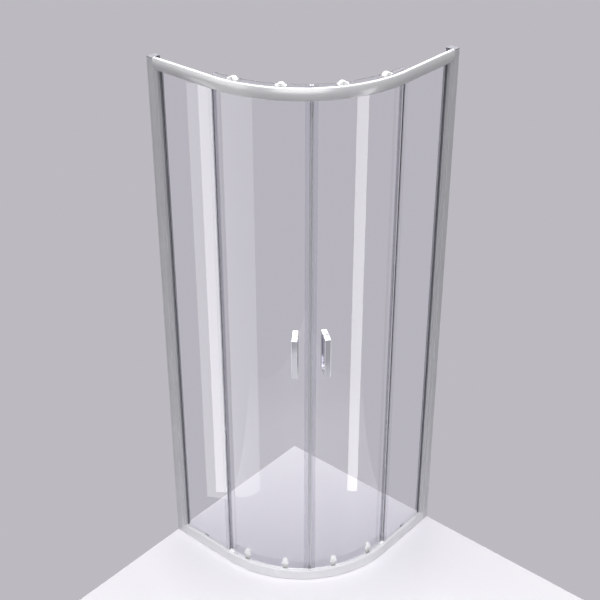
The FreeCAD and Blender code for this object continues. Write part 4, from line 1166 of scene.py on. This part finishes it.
def floor_material():
    """Smooth pale sheet floor with a soft sheen, turning grey towards its far edges: painted shade for
    studio light falling off.
    """
    material, tree, place = new_material("pale_floor")
    clouds = add(tree, "ShaderNodeTexNoise", {}, {"Vector": place, "Scale": 0.8, "Detail": 2})
    tint = add(tree, "ShaderNodeMix", {"data_type": "RGBA"}, {
        "Factor": clouds.outputs["Fac"], "A": colour("#F9F7FC"), "B": colour("#FBF9FD"),
    })
    # The grey towards the far edges is painted shade, a stand-in for studio light falling off with distance.
    far = add(tree, "ShaderNodeVectorMath", {"operation": "LENGTH"}, {0: place})
    shade_falloff = add(tree, "ShaderNodeMapRange", {"interpolation_type": "SMOOTHSTEP"}, {
        "Value": far.outputs["Value"], "From Min": FLOOR_SHADE_FALLOFF[0], "From Max": FLOOR_SHADE_FALLOFF[1],
    })
    tint = add(tree, "ShaderNodeMix", {"data_type": "RGBA"}, {
        "Factor": shade_falloff.outputs["Result"], "A": tint.outputs["Result"], "B": colour("#C6C4CA"),
    })
    skin = add(tree, "ShaderNodeBsdfPrincipled", {}, {
        "Base Color": tint.outputs["Result"], "Roughness": 0.5,
    })
    add(tree, "ShaderNodeOutputMaterial", {}, {"Surface": skin.outputs["BSDF"]})
    return material


bm = bmesh.new()
bmesh.ops.create_grid(bm, x_segments=1, y_segments=1, size=FLOOR_REACH / 2)
corner_x, corner_y = -HALF_SIDE * METRES, HALF_SIDE * METRES
middle = (corner_x + FLOOR_REACH / 2, corner_y - FLOOR_REACH / 2, -FLOOR_DROP)
bmesh.ops.translate(bm, vec=middle, verts=bm.verts)
floor = as_object(bm, "floor")
floor.data.materials.append(floor_material())


def studio_world():
    """A grey backdrop for the camera and for mirrors, a white ceiling that only mirrors show, and a faint
    even light on everything else."""
    world = bpy.data.worlds.new("studio")
    world.use_nodes = True
    tree = world.node_tree
    tree.nodes.clear()

    rays = add(tree, "ShaderNodeLightPath", {}, {}).outputs
    looked_at = add(tree, "ShaderNodeMath", {"operation": "MAXIMUM"}, {
        0: rays["Is Camera Ray"], 1: rays["Is Glossy Ray"],
    })
    looked_at = add(tree, "ShaderNodeMath", {"operation": "MAXIMUM"}, {
        0: looked_at.outputs["Value"], 1: rays["Is Transmission Ray"],
    })
    undiffused = add(tree, "ShaderNodeMath", {"operation": "LESS_THAN"}, {
        0: rays["Diffuse Depth"], 1: 0.5,
    })
    seen = add(tree, "ShaderNodeMath", {"operation": "MULTIPLY"}, {
        0: looked_at.outputs["Value"], 1: undiffused.outputs["Value"],
    })
    mirrored = add(tree, "ShaderNodeMath", {"operation": "GREATER_THAN"}, {
        0: rays["Glossy Depth"], 1: 0.5,
    })
    direction = add(tree, "ShaderNodeTexCoord", {}, {}).outputs["Generated"]
    height = add(tree, "ShaderNodeSeparateXYZ", {}, {"Vector": direction})
    above = add(tree, "ShaderNodeMapRange", {"interpolation_type": "SMOOTHSTEP"}, {
        "Value": height.outputs["Z"], "From Min": 0.1, "From Max": 0.4,
    })
    ceiling = add(tree, "ShaderNodeMath", {"operation": "MULTIPLY"}, {
        0: mirrored.outputs["Value"], 1: above.outputs["Result"],
    })
    room = add(tree, "ShaderNodeMix", {"data_type": "RGBA"}, {
        "Factor": ceiling.outputs["Value"], "A": colour(BACKDROP_TONE), "B": colour(CEILING_TONE),
    })
    backdrop = add(tree, "ShaderNodeBackground", {}, {"Color": room.outputs["Result"], "Strength": 1})
    ambient = add(tree, "ShaderNodeBackground", {}, {"Color": colour("#F4F4F8"), "Strength": AMBIENT})
    mix = add(tree, "ShaderNodeMixShader", {}, {"Fac": seen.outputs["Value"]})
    tree.links.new(ambient.outputs["Background"], mix.inputs[1])
    tree.links.new(backdrop.outputs["Background"], mix.inputs[2])
    add(tree, "ShaderNodeOutputWorld", {}, {"Surface": mix.outputs["Shader"]})
    return world


def area_lamp(name, place, target, width, height, watts, unseen=()):
    """A rectangular soft light. The camera doesn't see it, and neither do the kinds of ray in unseen."""
    data = bpy.data.lights.new(name, "AREA")
    data.shape = "RECTANGLE"
    data.size = width
    data.size_y = height
    data.energy = watts
    lamp = bpy.data.objects.new(name, data)
    lamp.location = place
    lamp.rotation_euler = (Vector(target) - Vector(place)).to_track_quat("-Z", "Y").to_euler()
    for ray in ("camera", *unseen):
        setattr(lamp, f"visible_{ray}", False)
    bpy.context.scene.collection.objects.link(lamp)


bpy.context.scene.world = studio_world()
for lamp in (
    ("overhead", (0.4, -0.45, 6.5), (0, 0, 0.6), 4.5, 4.5, 400),
    ("low_fill", (1.5, -1.7, 0.55), (0.2, -0.22, 0.15), 1.6, 0.7, 8, ("glossy", "transmission")),
    ("back_softbox", (-2.5, 3, 3.65), (0.2, -0.25, 1), 2.4, 1.6, 32, ("diffuse",)),
    ("left_panel_softbox", (-0.365, -0.581, 0.9), (-0.2, -0.33, 0.9), 0.046, 1.78, 0.75, REFLECTED_ONLY),
    ("left_door_softbox", (-0.2, -0.63, 0.9), (-0.02, -0.3, 0.9), 0.44, 1.78, 4.5, REFLECTED_ONLY),
    ("right_door_softbox", (0.7, 0.01, 0.9), (0.285, -0.07, 0.9), 0.13, 1.78, 3.8, REFLECTED_ONLY),
    ("front_softbox", (1.9, -2.3, 2.05), (0.2, -0.25, 1.93), 2.4, 1.3, 70, REFLECTED_ONLY),
    ("left_rail_softbox", (-0.9, -2.2, 1.9), (-0.1, -0.3, 1.94), 1.6, 1, 24, REFLECTED_ONLY),
):
    area_lamp(*lamp)

camera_data = bpy.data.cameras.new("camera")
camera_data.lens = FOCAL_LENGTH
camera_data.sensor_width = SENSOR_WIDTH
camera = bpy.data.objects.new("camera", camera_data)
camera.location = CAMERA_PLACE
camera.rotation_euler = (math.radians(90 - CAMERA_PITCH), 0, math.radians(CAMERA_YAW))
bpy.context.scene.collection.objects.link(camera)
bpy.context.scene.camera = camera
bpy.context.scene.view_settings.view_transform = "Standard"
